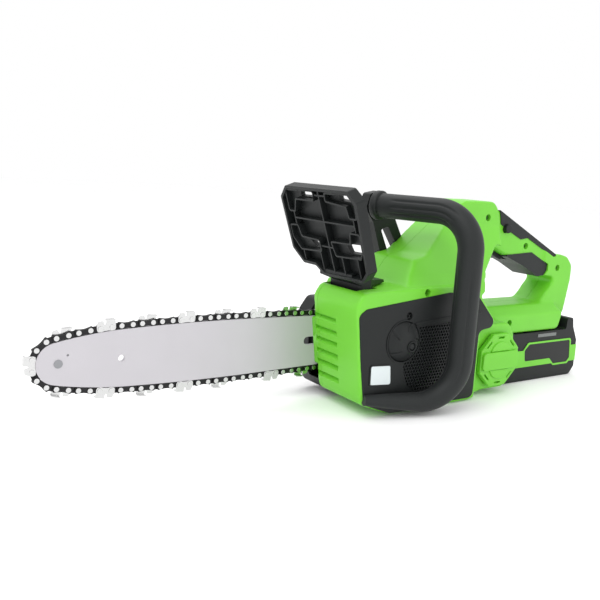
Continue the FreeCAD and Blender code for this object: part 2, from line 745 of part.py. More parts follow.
def body_solid(inset):
    """The whole housing as one solid, shrunk by the given inset."""
    block = side_plate(block_outline(), LEFT_Y, RIGHT_Y, 8.0, inset)
    block = block.cut(box(66.0 - inset, 200.0, -120.0, TANK_LEFT_Y + inset, -50.0, 84.0 + inset))
    ledge = [(SHOULDER_FRONT_X, 106.0), (SHOULDER_FRONT_X + 8, TOP_Z), (52.0, TOP_Z), (66.0, 106.0)]
    shoulder = side_plate(ledge, RIGHT_Y - 20, SHOULDER_Y, 4.0, inset)
    riser = side_plate(riser_outline(), LEFT_Y, SHOULDER_Y, 5.0, inset)
    riser = riser.common(riser_sides(inset))
    gap = side_plate(grip_gap(), -99, 99, 9.0, -inset)
    loop = side_plate(loop_outline(), SPLIT_Y - GRIP_HALF, SPLIT_Y + GRIP_HALF, 10.0, inset)
    post = side_plate(loop_outline(), SPLIT_Y - POST_HALF, SPLIT_Y + POST_HALF, 10.0, inset)
    post = post.common(box(214.0 + inset, 300.0, -99, 99, 0, 160))
    base = side_plate(base_outline(), SPLIT_Y - BASE_HALF, SPLIT_Y + BASE_HALF, 5.0, inset)
    base = base.common(base_sides(inset))
    tank = side_plate(tank_outline(), TANK_LEFT_Y, RIGHT_Y, 6.0, inset)
    upper = joined([loop, post]).cut(gap)
    riser = riser.cut(gap)
    return joined([block, shoulder, riser, upper, base, tank])


def panel_outline(grow=0.0):
    return [(-95.0 - grow, 10.0 - grow), (-103.0 - grow, 69.0), (-100.0 - grow, 104.0 + grow),
            (13.0, 119.0 + grow), (62.0, 114.0 + grow), (84.0 + grow, 84.0),
            (58.0 + grow, 78.0), (58.0 + grow, 3.0 - grow), (-60.0, 3.0 - grow)]


WINDOW = (-82.0, -59.0, 31.5, 50.5)
CAP_CENTRE = (101.0, 40.5)
CAP_R = 29.5
DOME_CENTRE = (-45.0, 73.5)
DOME_R = 21.0
GRILLE = (-46.0, 54.0, 15.0, 98.0)
SCREW_R = 2.0
SCREW_HEAD_R = 3.6
LEFT_SCREWS = [(-17.0, 121.0), (104.0, 194.0), (180.0, 161.0), (240.0, 134.0), (146.0, 73.0)]


def screw_well(x, z, y_face, y_seat):
    """Counterbored hole from the left face to the split plane."""
    return joined([rod(x, z, SCREW_HEAD_R + 0.3, y_face - 30, y_seat),
                   rod(x, z, SCREW_R + 0.2, y_seat - 1, SPLIT_Y + 12)])


def screw(x, z, y_seat, length):
    head = rod(x, z, SCREW_HEAD_R, y_seat - 2.4, y_seat)
    socket = side_plate([polar(1.7, math.radians(60 * i)) for i in range(6)], -1.6, 0)
    socket.translate(V(x, y_seat - 1.2, z))
    return joined([head, rod(x, z, SCREW_R, y_seat, y_seat + length)]).cut(socket)


def left_face_at(x, z):
    """Y of the left face at a screw, for the seat of its head."""
    if z > 185:
        return SPLIT_Y - RISER_HALF
    if x > 200:
        return SPLIT_Y - POST_HALF
    if x > 140:
        return SPLIT_Y - GRIP_HALF
    if z < 100:
        return SPLIT_Y - BASE_HALF
    return LEFT_Y + 24


def make_housing():
    outer = body_solid(0.0)
    inner = body_solid(WALL)
    shell = outer.cut(inner)
    mx, mz = motor_axis()
    bosses = []
    wells = []
    screws = []
    for x, z in LEFT_SCREWS:
        face = left_face_at(x, z)
        seat = face + 7.0
        bosses.append(rod(x, z, SCREW_HEAD_R + 2.4, face, SPLIT_Y + 14).common(outer))
        wells.append(screw_well(x, z, face, seat))
        screws.append(screw(x, z, seat, 12.0 if seat + 12 < SPLIT_Y + 10 else 8.0))
    spindle_boss = rod(0, BAR_Z, 14.0, -13.0, RIGHT_Y)
    lugs = [box(GUARD_PIVOT[0] - 8, GUARD_PIVOT[0] + 8, a, b, GUARD_PIVOT[1] - 4.5, TOP_Z - 1)
            for a, b in guard_lug_spans()]
    sole = box(-50.0, 28.0, RIGHT_Y - WALL, 8.0, 0.0, 5.0)
    pad_outline = [(FRONT_X + 11.5, BAR_Z - 24), (FRONT_X + 4, BAR_Z + 26), (-BAR_TAIL_GAP, BAR_Z + 20),
                   (-BAR_TAIL_GAP, BAR_Z - 20)]
    bar_pad = side_plate(pad_outline, RIGHT_Y - 1, -BAR_THICK / 2 - 0.1, 2.0)
    shell = joined([shell] + bosses + lugs + [spindle_boss, bar_pad, sole])
    panel_room = side_plate(panel_outline(SEAT_GAP), LEFT_Y - 5, LEFT_Y + WALL, 7.0)
    panel_hole = side_plate(panel_outline(-5.0), LEFT_Y - 5, LEFT_Y + 14, 7.0)
    cap_x, cap_z = CAP_CENTRE
    cap_hole = rod(cap_x, cap_z, 20.0 + SEAT_GAP, -120, TANK_LEFT_Y + 12)
    guard_slot = box(GUARD_PIVOT[0] - 14, GUARD_PIVOT[0] + 12, GUARD_FOOT_Y[0] - SLIDE_GAP,
                     GUARD_FOOT_Y[1] + SLIDE_GAP, GUARD_PIVOT[1] - 8, 140.0)
    battery_mouth = box(120.0, 300.0, SPLIT_Y - 27, SPLIT_Y + 27, BASE_BOTTOM_Z - 5, 70.0)
    rear_mouth = box(BASE_REAR_X - 12, 300.0, SPLIT_Y - 27, SPLIT_Y + 27, 50.0, 70.0)
    cuts = wells + [panel_room, panel_hole, cap_hole, guard_slot, battery_mouth, rear_mouth,
                    rod(0, BAR_Z, 11.0, -13.1, -8.0), rod(0, BAR_Z, SPINDLE_R + 3, -14, 0),
                    guard_pin(SEAT_GAP / 10), stud_holes(SEAT_GAP), handle_tube(SEAT_GAP),
                    upper_grip_block(POCKET_REACH), lower_grip_block(POCKET_REACH),
                    trigger_room(), lock_room()]
    shell = shell.cut(cuts)
    left = largest(shell.common(box(-200, 400, -200, SPLIT_Y, -50, 300)))
    right = largest(shell.common(box(-200, 400, SPLIT_Y, 100, -50, 300)))
    save("housing_left", left)
    save("housing_right", right)
    save("housing_screws", group(screws))
    make_panel(outer)


def make_panel(outer):
    """Black left cover with its window, domed motor cap and vent grille."""
    plate = side_plate(panel_outline(), LEFT_Y - 0.8, LEFT_Y + WALL - SEAT_GAP, 7.0)
    lip = side_plate(panel_outline(-5.2), LEFT_Y, LEFT_Y + 9, 7.0)
    lip = lip.cut(side_plate(panel_outline(-7.7), LEFT_Y - 5, LEFT_Y + 20, 7.0))
    x0, x1, z0, z1 = WINDOW
    window_hole = box(x0 - SEAT_GAP, x1 + SEAT_GAP, LEFT_Y - 9, LEFT_Y + 20, z0 - SEAT_GAP, z1 + SEAT_GAP)
    dome_hole = rod(DOME_CENTRE[0], DOME_CENTRE[1], DOME_R + SEAT_GAP, LEFT_Y - 9, LEFT_Y + 20)
    grille_hole = grille_block(SEAT_GAP, LEFT_Y - 9, LEFT_Y + 20)
    panel = joined([plate, lip]).cut([window_hole, dome_hole, grille_hole, handle_tube(SEAT_GAP)])
    save("side_cover", largest(panel))
    glass = box(x0, x1, LEFT_Y - 1.4, LEFT_Y + WALL, z0, z1)
    glass = glass.makeFillet(2.0, edges_along(glass, LATERAL))
    save("oil_window", largest(glass.cut(handle_tube(SEAT_GAP))))
    save("vent_grille", grille())
    save("motor_cap", motor_cap())


def edges_along(shape, direction):
    found = []
    for edge in shape.Edges:
        along = edge.tangentAt(edge.FirstParameter)
        if abs(along.dot(direction)) > 0.99:
            found.append(edge)
    return found


def grille_block(grow, y0, y1):
    x0, x1, z0, z1 = GRILLE
    outline = [(x0 - grow, z0 + 24), (x0 + 14 - grow, z0 - grow), (x1 + grow, z0 - grow),
               (x1 + grow, z1 + grow), (x0 + 30 - grow, z1 - 15 + grow), (x0 + 18 - grow, z1 - 34)]
    block = side_plate(outline, y0, y1, 3.0)
    return block.cut(rod(DOME_CENTRE[0], DOME_CENTRE[1], DOME_R + 3 - grow, y0 - 1, y1 + 1))


def grille():
    """Vent insert with a field of six-sided cells."""
    plate = grille_block(0.0, LEFT_Y + 0.4, LEFT_Y + 2.4).cut(handle_tube(SEAT_GAP))
    cell, pitch = 2.6, 7.4
    room = grille_block(-4.0, LEFT_Y - 1, LEFT_Y + 4)
    x0, x1, z0, z1 = GRILLE
    cells = []
    columns = int((x1 - x0) / pitch) + 1
    rows = int((z1 - z0) / (pitch * 0.866)) + 1
    for row in range(rows):
        for column in range(columns):
            x = x0 + (column + 0.5 * (row % 2)) * pitch
            z = z0 + row * pitch * 0.866
            inside = room.isInside(V(x, LEFT_Y + 1, z), 0.1, False)
            if not inside:
                continue
            hexagon = [(x + a, z + b) for a, b in
                       (polar(cell, math.radians(60 * i + 30)) for i in range(6))]
            cells.append(side_plate(hexagon, LEFT_Y - 1, LEFT_Y + 4))
    return plate.cut(cells)


def motor_cap():
    """Low dome with a swirl of slots round its rim."""
    x, z = DOME_CENTRE
    ball_r = 44.0
    rise = 7.0
    base = rod(x, z, DOME_R, LEFT_Y - rise - 1, LEFT_Y + WALL)
    ball = Part.makeSphere(ball_r, V(x, LEFT_Y - rise + ball_r, z))
    dome = base.common(ball)
    cuts = [rod(x + 6, z - 4, 4.6, LEFT_Y - 20, LEFT_Y - 4.9)]
    stud = rod(x + 6, z - 4, 3.2, LEFT_Y - 7.5, LEFT_Y - 4.0)
    for i in range(6):
        slot = box(DOME_R - 8.0, DOME_R - 1.5, LEFT_Y - 9, LEFT_Y - 2.2, -0.8, 0.8)
        slot.rotate(V(DOME_R - 8.0, 0, 0), LATERAL, 35)
        slot.rotate(V(0, 0, 0), LATERAL, 60 * i)
        slot.translate(V(x, 0, z))
        cuts.append(slot)
    return joined([dome.cut(cuts), stud])


# ================================================================ bar mounting
STUD_X = (-80.0, -60.0)
COVER_RIGHT_Y = 34.0
COVER_WALL = 2.5
TENSION_X = -76.0
COVER_FRONT_X = -94.0
TENSION_Y = 9.0


def stud_holes(gap):
    return joined_loose([rod(x, BAR_Z, STUD_R + gap, RIGHT_Y - WALL - 4, 60) for x in STUD_X])


def joined_loose(shapes):
    return shapes[0].fuse(shapes[1:])


def cover_outline():
    front = COVER_FRONT_X
    return [(front + 2, 24.0), (front, 88.0), (front + 10, 102.0), (24.0, 106.0), (54.0, 84.0),
            (56.0, 46.0), (34.0, 16.0), (-58.0, 6.0), (-80.0, 7.0)]


def make_bar_mount():
    outer = side_plate(cover_outline(), RIGHT_Y + SEAT_GAP, COVER_RIGHT_Y, 8.0)
    inner = side_plate(cover_outline(), RIGHT_Y - 9, COVER_RIGHT_Y, 8.0, COVER_WALL)
    cover = outer.cut(inner)
    front = COVER_FRONT_X
    mouth = box(front - 20, front + 10, -9.0, 14.0, 19.0, 99.0)
    clamp = box(front + 4, -50.0, BAR_THICK / 2 + 0.1, COVER_RIGHT_Y - 1, BAR_Z - 11, BAR_Z + 11)
    lug = box(front + 3, front + 8, 5.0, COVER_RIGHT_Y - 1, 40.0, 49.9)
    cover = joined([cover.cut(mouth), clamp, lug])
    cover = cover.cut([stud_holes(SEAT_GAP), lengthwise(TENSION_Y, BAR_Z - TENSION_HOLE_Z, 2.7, -110, -82)])
    save("sprocket_cover", largest(cover))
    studs, nuts = [], []
    for x in STUD_X:
        studs.append(joined([rod(x, BAR_Z, STUD_R, RIGHT_Y - WALL, COVER_RIGHT_Y + 9),
                             rod(x, BAR_Z, STUD_R + 2, RIGHT_Y - WALL - 3, RIGHT_Y - WALL)]))
        hexagon = [(x + a, BAR_Z + b) for a, b in (polar(7.5, math.radians(60 * i)) for i in range(6))]
        nut = joined([side_plate(hexagon, COVER_RIGHT_Y, COVER_RIGHT_Y + 7),
                      rod(x, BAR_Z, 9.0, COVER_RIGHT_Y, COVER_RIGHT_Y + 1.5)])
        nuts.append(nut.cut(rod(x, BAR_Z, STUD_R, 0, 90)))
    save("bar_studs", group(studs))
    save("bar_nuts", group(nuts))
    z = BAR_Z - TENSION_HOLE_Z
    block = joined([box(TENSION_X - 5, TENSION_X + 5, 5.0, 13.0, z - 4, z + 4),
                    rod(TENSION_X, z, TENSION_HOLE_R - SEAT_GAP, -1.8, 5.0)])
    save("tension_block", block.cut(lengthwise(TENSION_Y, z, 2.5, -120, -60)))
    screw_body = joined([lengthwise(TENSION_Y, z, 2.5, front + 8, TENSION_X + 12),
                         lengthwise(TENSION_Y, z, 2.6, front + 3, front + 8),
                         lengthwise(TENSION_Y, z, 4.5, front, front + 3)])
    notch = box(front - 1, front + 1, TENSION_Y - 0.6, TENSION_Y + 0.6, z - 9, z + 9)
    save("tension_screw", screw_body.cut(notch))


# ================================================================ wrap handle
def bent_tube(points, bends, radius):
    """Round tube: straight runs and, at each inner point, a tangent bend."""
    pieces = []
    start = points[0]
    for i in range(1, len(points) - 1):
        corner = points[i]
        back = (points[i - 1] - corner).normalize()
        ahead = (points[i + 1] - corner).normalize()
        half = back.getAngle(ahead) / 2
        reach = bends[i - 1] / math.tan(half)
        enter = corner + back * reach
        centre = corner + (back + ahead).normalize() * (bends[i - 1] / math.sin(half))
        axis = ahead.cross(back)
        disc = Part.Face(Part.Wire([Part.makeCircle(radius, enter, back)]))
        turn = 180.0 - math.degrees(2 * half)
        pieces.append(oriented(disc.revolve(centre, axis, turn)))
        pieces.append(straight_tube(start, enter, radius))
        start = corner + ahead * reach
    pieces.append(straight_tube(start, points[-1], radius))
    return joined(pieces)


def straight_tube(start, finish, radius):
    return Part.makeCylinder(radius, (finish - start).Length, start, finish - start)


def handle_points():
    rx, ry = HANDLE_RIGHT
    lx, ly = HANDLE_LEG
    tx, ty = HANDLE_TOE
    return [V(rx, ry, HANDLE_TOP_Z), V(lx, ly, HANDLE_TOP_Z), V(lx, ly, TUBE_R - 1), V(tx, ty, HANDLE_TOE_Z)]


def handle_tube(gap):
    """The bent tube, square-cut at the strut and flat underfoot."""
    points = handle_points()
    tube = bent_tube(points, [HANDLE_CORNER_R, HANDLE_FOOT_R], TUBE_R + gap)
    beyond = box(-80.0, 40.0, STRUT_Y[0] + gap, 60.0, HANDLE_TOP_Z - 50, HANDLE_TOP_Z + 50)
    below = box(-200.0, 200.0, -200.0, 100.0, -50.0, 0.0)
    return tube.cut([beyond, below])


def make_wrap_handle():
    tube = handle_tube(0.0)
    save("wrap_handle", largest(tube))
    cx = HANDLE_RIGHT[0] + 3.0
    outline = [(-24.0, HANDLE_TOP_Z - 19), (cx - 14, HANDLE_TOP_Z - 4), (cx - 9, HANDLE_TOP_Z + 12),
               (cx + 6, HANDLE_TOP_Z + 15), (cx + 17, HANDLE_TOP_Z + 4), (7.0, HANDLE_TOP_Z - 16),
               (30.0, 146.0), (26.0, TOP_Z + 1), (-2.0, TOP_Z + 1)]
    window = [(-13.0, HANDLE_TOP_Z - 26), (-3.0, HANDLE_TOP_Z - 23), (17.0, 150.0), (2.0, 146.0)]
    plate = side_plate(outline, STRUT_Y[0], STRUT_Y[1], 4.0)
    plate = plate.cut(side_plate(window, -9, 40, 2.5))
    top = body_solid(0.0)
    save("handle_strut", largest(plate.cut(top)))


# ================================================================ hand guard
def guard_lug_spans():
    return [(GUARD_FOOT_Y[0] - 5.5, GUARD_FOOT_Y[0] - 0.5), (GUARD_FOOT_Y[1] + 0.5, GUARD_FOOT_Y[1] + 5.5)]


def guard_pin(gap):
    x, z = GUARD_PIVOT
    return rod(x, z, GUARD_PIN_R + gap, GUARD_FOOT_Y[0] - 5.5, GUARD_FOOT_Y[1] + 5.5)


def front_plate(points, x0, x1, round_off=4.0):
    """Solid between two planes of constant X from (y, z) corners."""
    wire = side_wire(points, 0.0, round_off)
    wire.rotate(V(0, 0, 0), UP, 90)
    wire.translate(V(x0, 0, 0))
    return oriented(Part.Face(wire).extrude(V(x1 - x0, 0, 0)))


def guard_height():
    return math.hypot(GUARD_TOP[0] - GUARD_FOOT[0], GUARD_TOP[1] - GUARD_FOOT[1])


def guard_outline():
    """Front view (y, height above the plate's foot), from the right side round."""
    right = GUARD_RIGHT_Y
    left = GUARD_LEFT_Y
    top = guard_height()
    return [(right, top - 12.0), (right - 13.0, top), (left + 11.0, top), (left, top - 11.0),
            (left + 4.0, 10.0), (left + 14.0, 0.0), (GUARD_FOOT_Y[1] - 8, -2.0), (-8.0, 7.0),
            (right - 15.0, 7.0), (right, 22.0)]


def shrunk(points, by):
    """Polygon with every side moved inward."""
    count = len(points)
    area = sum(points[i - 1][0] * points[i][1] - points[i][0] * points[i - 1][1] for i in range(count))
    turn = math.copysign(1.0, area)
    moved = []
    for i, (y, z) in enumerate(points):
        back = V(y - points[i - 1][0], z - points[i - 1][1], 0).normalize()
        ahead = V(points[(i + 1) % count][0] - y, points[(i + 1) % count][1] - z, 0).normalize()
        first = V(-back.y, back.x, 0) * turn
        second = V(-ahead.y, ahead.x, 0) * turn
        step = (first + second) * (by / (1.0 + first.dot(second)))
        moved.append((y + step.x, z + step.y))
    return moved


def guard_pockets():
    """Stepped pockets of the guard's front, each with the window in its floor."""
    top = guard_height() - GUARD_RIM - 0.5
    right = GUARD_RIGHT_Y
    left = GUARD_LEFT_Y
    return [
        ([(right - 9, top), (right - 9, 62.0), (right - 20, 62.0), (2.0, 75.0), (-28.0, 75.0), (-31.0, top)],
         [(-3.0, top - 1), (-29.0, top - 1), (-29.0, 78.0), (-1.0, 77.5)]),
        ([(-48.0, top), (-47.0, 76.0), (-62.0, 74.5), (-78.0, 73.0), (-80.0, 62.0), (left + 5, 62.0),
          (left + 4, 76.0), (left + 12, top)],
         [(-65.0, top - 1), (left + 13, top - 1), (left + 7, 78.0), (left + 8, 76.5), (-65.0, 77.5)]),
        ([(right - 4, 48.0), (right - 19, 49.0), (6.0, 37.0), (-24.0, 36.0), (-24.0, 23.0), (13.0, 21.0),
          (right - 4, 34.0)],
         [(3.0, 34.5), (-22.0, 34.0), (-22.0, 25.5), (-9.0, 25.0)]),
        ([(-42.0, 37.0), (-73.0, 38.0), (-76.0, 49.0), (left + 6, 49.0), (left + 6, 31.0), (left + 11, 23.0),
          (-46.0, 21.0)],
         [(-61.0, 34.5), (left + 8, 36.0), (left + 9, 31.0), (left + 13, 26.0), (-64.0, 25.5)])]


def guard_ribs():
    """Thin ribs between the pockets, as (y, height) ends."""
    top = guard_height() - GUARD_RIM
    right = GUARD_RIGHT_Y
    left = GUARD_LEFT_Y
    spine = -37.5
    return [((spine, 0.0), (spine, 81.5)), ((left + 12, 55.5), (right - 16, 55.5)),
            ((-47.5, 81.5), (-31.0, 81.5)), ((right - 16, 49.0), (right - 16, 62.0)),
            ((left + 12, 49.0), (left + 12, 62.0)), ((-42.0, 29.5), (-24.0, 29.5)),
            ((right - 18, 5.0), (right - 18, 22.0)), ((-20.0, 0.0), (-20.0, 23.0)),
            ((-55.0, 0.0), (-55.0, 22.0)), ((-79.0, 1.0), (-79.0, 22.0)),
            ((spine, top), (spine, 81.5))]


def make_guard():
    outline = guard_outline()
    plate = front_plate(outline, 0.0, GUARD_DEPTH)
    hollow = front_plate(shrunk(outline, GUARD_RIM), -1.0, GUARD_DEPTH - GUARD_SKIN, 3.0)
    pieces = [plate.cut(hollow)]
    for (y0, z0), (y1, z1) in guard_ribs():
        half = GUARD_WALL / 2
        near, far = min(y0, y1) - half, max(y0, y1) + half
        rib = box(1.5, GUARD_DEPTH - 1, near, far, min(z0, z1) - half, max(z0, z1) + half)
        pieces.append(rib.common(plate))
    windows = []
    rooms = []
    for pocket, window in guard_pockets():
        wall = front_plate(pocket, 0.8, GUARD_DEPTH, 2.5)
        room = front_plate(shrunk(pocket, GUARD_WALL), -1.0, GUARD_DEPTH - 2 * GUARD_SKIN, 1.5)
        pieces.append(wall.cut(room))
        rooms.append(room)
        windows.append(front_plate(window, -5.0, 30.0, 1.5))
    shell = joined(pieces).cut(windows + rooms)
    lean = math.degrees(math.atan2(GUARD_FOOT[0] - GUARD_TOP[0], GUARD_TOP[1] - GUARD_FOOT[1]))
    shell.rotate(V(0, 0, 0), LATERAL, -lean)
    shell.translate(V(GUARD_FOOT[0], 0, GUARD_FOOT[1]))
    px, pz = GUARD_PIVOT
    y0, y1 = GUARD_FOOT_Y
    fx, fz = GUARD_FOOT
    neck = side_plate([(fx + 0.5, fz + 5), (fx + 10, fz + 9), (px + 8, TOP_Z + 9), (px + 36, TOP_Z + 6),
                       (px + 38, TOP_Z + 3.2), (px + 9, TOP_Z + 3.2), (px + 6, pz + 4), (px - 6, pz + 2),
                       (px - 6.5, TOP_Z + 4), (fx + 0.5, fz - 1)], y0, y1, 1.0)
    corner = Part.makePolygon([V(px + 2, y0 - 1, 90), V(px + 60, y0 - 1, 90), V(px + 60, y0 + 34, 90),
                               V(px + 2, y0 - 1, 90)])
    neck = neck.cut(Part.Face(corner).extrude(V(0, 0, 90)))
    hub = rod(px, pz, GUARD_HUB_R, y0, y1)
    guard = joined([shell, neck, hub]).cut(rod(px, pz, GUARD_PIN_R + RUN_FIT, -99, 99))
    save("hand_guard", largest(guard))
    save("guard_pivot_pin", guard_pin(0.0))
    switch = box(px + 14, px + 26, -25, -13, 103.0, 114.0)
    lever = box(px + 9.5, px + 14, -21, -17, 107.0, 109.0)
    save("brake_switch", joined([switch, lever]))


# ================================================================ rear handle fittings
TRIGGER_PIVOT = (130.0, 168.0)
TRIGGER_HALF = 7.0
LOCK_CENTRE = (142.0, 181.5)
LOCK_R = 5.0
LOCK_PROUD = 5.0
RUBBER_PROUD = 1.0
POCKET_REACH = 8.0      # how far the rubbers' pockets run out past the rubber


def upper_grip_block(reach):
    """Rubber on the back of the grip; reach makes the pocket's cutter, open outward."""
    under = [(237.0, 148.5), (231.0, 147.3), (181.0, 170.7), (169.0, 169.0), (150.0, 177.5),
             (132.0, 186.5)]
    top = [(128.5, 202.5), (236.5, 150.5)]
    if reach:
        top = [(126.0, 211.0), (238.0, 157.0)]
    half = GRIP_HALF + RUBBER_PROUD + reach
    return side_plate(top + under, SPLIT_Y - half, SPLIT_Y + half)


def lower_grip_block(reach):
    over = [(148.0, 151.0), (191.0, 153.5), (222.0, 139.0), (222.0, 131.0), (217.0, 125.0)]
    bottom = [(206.0, 124.0), (177.0, 137.9), (148.0, 149.0)]
    if reach:
        bottom = [(206.0, 117.0), (177.0, 131.0), (148.0, 142.0)]
    half = GRIP_HALF + RUBBER_PROUD + reach
    return side_plate(over + bottom, SPLIT_Y - half, SPLIT_Y + half)


def trigger_room():
    outline = [(112.0, 158.0), (150.0, 136.0), (165.0, 146.0), (165.0, 162.0), (146.0, 178.0), (118.0, 178.0)]
    half = TRIGGER_HALF + SLIDE_GAP
    return side_plate(outline, SPLIT_Y - half, SPLIT_Y + half)


def lock_room():
    x, z = LOCK_CENTRE
    return rod(x, z, LOCK_R + SLIDE_GAP, SPLIT_Y - 40, SPLIT_Y + 40)


def make_grips():
    save("upper_grip", largest(upper_grip_block(0.0).cut(lock_room())))
    save("lower_grip", largest(lower_grip_block(0.0).cut(trigger_room())))
    px, pz = TRIGGER_PIVOT
    outline = [(px - 5, pz + 3), (px + 5, pz + 4), (155.0, 158.0), (159.5, 152.5), (157.5, 147.0),
               (149.0, 144.2), (142.0, 146.8), (127.0, 155.0)]
    half = TRIGGER_HALF
    trigger = side_plate(outline, SPLIT_Y - half, SPLIT_Y + half, 2.0)
    coil_room = rod(px, pz, 4.6, SPLIT_Y - 3, SPLIT_Y + 3)
    trigger = trigger.cut([rod(px, pz, 1.5 + RUN_FIT, -99, 99), coil_room])
    save("trigger", largest(trigger))
    save("trigger_pin", rod(px, pz, 1.5, SPLIT_Y - 10, SPLIT_Y + 10))
    helix = Part.makeHelix(1.4, 4.2, 2.9)
    wire_section = Part.Wire([Part.makeCircle(0.5, V(2.9, 0, 0), V(0, 1, 0))])
    coil = Part.Wire(helix.Edges).makePipeShell([wire_section], True, True)
    coil.rotate(V(0, 0, 0), REARWARD, 90)
    coil.translate(V(px, SPLIT_Y + 2.1, pz))
    save("trigger_spring", oriented(coil))
    body = box(147.8, 157.0, SPLIT_Y - 6, SPLIT_Y + 6, 165.4, 173.4)
    save("trigger_switch", joined([body, box(150.0, 152.0, SPLIT_Y - 2, SPLIT_Y + 2, 164.6, 165.4)]))
    x, z = LOCK_CENTRE
    reach = GRIP_HALF + LOCK_PROUD
    save("lock_off_button", rod(x, z, LOCK_R, SPLIT_Y - reach, SPLIT_Y + reach - 3.0))


# ================================================================ oil system
CAP_PROUD = 9.0


def make_oil_system():
    cx, cz = CAP_CENTRE
    y_out = TANK_LEFT_Y + WALL + 1.0
    tank = box(70.0, 120.0, y_out, -36.0, 9.0, 77.0)
    hollow = box(72.0, 118.0, y_out + 2, -38.0, 11.0, 75.0)
    neck = rod(cx, cz, 20.0, TANK_LEFT_Y - 1.0, y_out + 2)
    tank = joined([tank, neck]).cut([hollow, rod(cx, cz, 16.5, -99, y_out + 4)])
    save("oil_tank", largest(tank))
    face = TANK_LEFT_Y - 1.0 - SEAT_GAP
    octagon = [(cx + a, cz + b) for a, b in
               (polar(CAP_R / math.cos(math.pi / 8), math.radians(45 * i + 22.5)) for i in range(8))]
    plate = side_plate(octagon, face - 6.0, face - 0.3, 2.0)
    slots = []
    for i in range(8):
        slot = box(-4.5, 4.5, face - 9, face - 3.5, CAP_R - 4.6, CAP_R - 2.8)
        slot.rotate(V(0, 0, 0), LATERAL, 45 * i)
        slot.translate(V(cx, 0, cz))
        slots.append(slot)
    bar = box(cx - CAP_R + 1, cx + CAP_R - 1, face - CAP_PROUD, face - 5.0, cz - 9.0, cz + 9.0)
    plug = rod(cx, cz, 16.0, face - 0.3, face + 8.0)
    cap = joined([plate.cut(slots), bar, plug])
    save("oil_cap", cap)
    seal = ring(cx, cz, 19.5, 16.0, face - 0.3, face)
    save("oil_cap_seal", seal)
    pump = joined([box(30.0, 56.0, -26.0, -12.0, 14.0, 30.0), rod(36.0, 22.0, 4.0, -30.0, -26.0)])
    save("oil_pump", pump)
    hose = bent_tube([V(70.0, -42, 22), V(48.0, -42, 22), V(48.0, -26.0, 22)], [6.0], 2.4)
    save("oil_hose", hose)


# ================================================================ electrics and battery
def make_electrics():
    board = box(140.0, 214.0, SPLIT_Y - 26, SPLIT_Y + 26, 79.0, 80.6)
    sinks = [box(x, x + 12, SPLIT_Y - 20, SPLIT_Y + 20, 80.6, 86.0) for x in (150.0, 170.0, 190.0)]
    save("control_board", joined([board] + sinks))
    block = box(122.0, 138.0, SPLIT_Y - 20, SPLIT_Y + 20, 61.0, 70.0)
    blades = [box(138.0, 150.0, SPLIT_Y + y - 0.4, SPLIT_Y + y + 0.4, 62.0, 67.0) for y in (-14, 0, 14)]
    save("terminal_block", joined([block] + blades))


def battery_outline():
    return [(BATT_FRONT_X + 4, 0.0), (BATT_REAR_X - 8, 0.0), (BATT_REAR_X, 10.0), (BATT_REAR_X - 1, 44.0),
            (265.0, 61.0), (262.5, HUMP_TOP_Z), (252.0, HUMP_TOP_Z), (251.0, BATT_TOP_Z),
            (BATT_FRONT_X, BATT_TOP_Z), (BATT_FRONT_X, 8.0)]


def make_battery():
    left, right = SPLIT_Y - BATT_HALF, SPLIT_Y + BATT_HALF
    whole = side_plate(battery_outline(), left, right, 3.0)
    inside = side_plate(battery_outline(), left, right, 3.0, CASE_WALL)
    split_z = (BAND_LOW_Z + BAND_HIGH_Z) / 2
    rail = box(BATT_FRONT_X + 1, 250.0, SPLIT_Y - 25, SPLIT_Y + 25, BATT_TOP_Z - 1, 67.0)
    slots = [box(BATT_FRONT_X, 158.0, SPLIT_Y + y - 1.2, SPLIT_Y + y + 1.2, BATT_TOP_Z + 1, 70.0)
             for y in (-14, 0, 14)]
    rail_room = box(BATT_FRONT_X + 3, 248.0, SPLIT_Y - 23, SPLIT_Y + 23, 50.0, 65.0)
    shell = joined([whole.cut(inside), rail.cut(rail_room)])
    latch_room = box(255.0, 262.0, SPLIT_Y - 16, SPLIT_Y + 16, 62.0, 80.0)
    upper = shell.cut([box(100, 300, -99, 99, -9, split_z), latch_room] + slots)
    lower = shell.cut(box(100, 300, -99, 99, split_z, 99))
    save("battery_upper_case", largest(upper))
    save("battery_lower_case", largest(lower))
    slab = box(100, 300, -99, 99, BAND_LOW_Z, BAND_HIGH_Z)
    skin = side_plate(battery_outline(), left - BAND_PROUD, right + BAND_PROUD, 3.0, 0.0)
    grown = side_plate(battery_outline(), left, right, 3.0)
    band = skin.cut(grown).common(slab)
    frame = side_plate(label_outline(2.2), left - BAND_PROUD, left, 4.0)
    frame_right = side_plate(label_outline(2.2), right, right + BAND_PROUD, 4.0)
    sheet = side_plate(label_outline(0.0), left - 9, right + 9, 3.0)
    save("battery_band", group([band.fuse([frame, frame_right]).cut(sheet)]))
    labels = [side_plate(label_outline(-0.1), left - BAND_PROUD / 2, left, 3.0),
              side_plate(label_outline(-0.1), right, right + BAND_PROUD / 2, 3.0)]
    save("battery_labels", group(labels))
    cells = []
    for row_z in (13.0, 32.5):
        for i in range(CELLS_PER_ROW):
            x = BATT_FRONT_X + 22.0 + i * 2.1 * CELL_R
            cells.append(rod(x, row_z, CELL_R, SPLIT_Y - CELL_LENGTH / 2, SPLIT_Y + CELL_LENGTH / 2))
    save("battery_cells", group(cells))
    save("battery_board", box(150.0, 240.0, SPLIT_Y - 20, SPLIT_Y + 20, 46.0, 47.6))
    button = box(255.3, 261.7, SPLIT_Y - 15.7, SPLIT_Y + 15.7, 62.5, HUMP_TOP_Z + 0.8)
    save("battery_release", button.makeFillet(1.2, edges_along(button, UP)))
    lamp = box(198.0, 232.0, left - 0.4, left, 52.5, 56.5)
    save("charge_lamp", lamp)


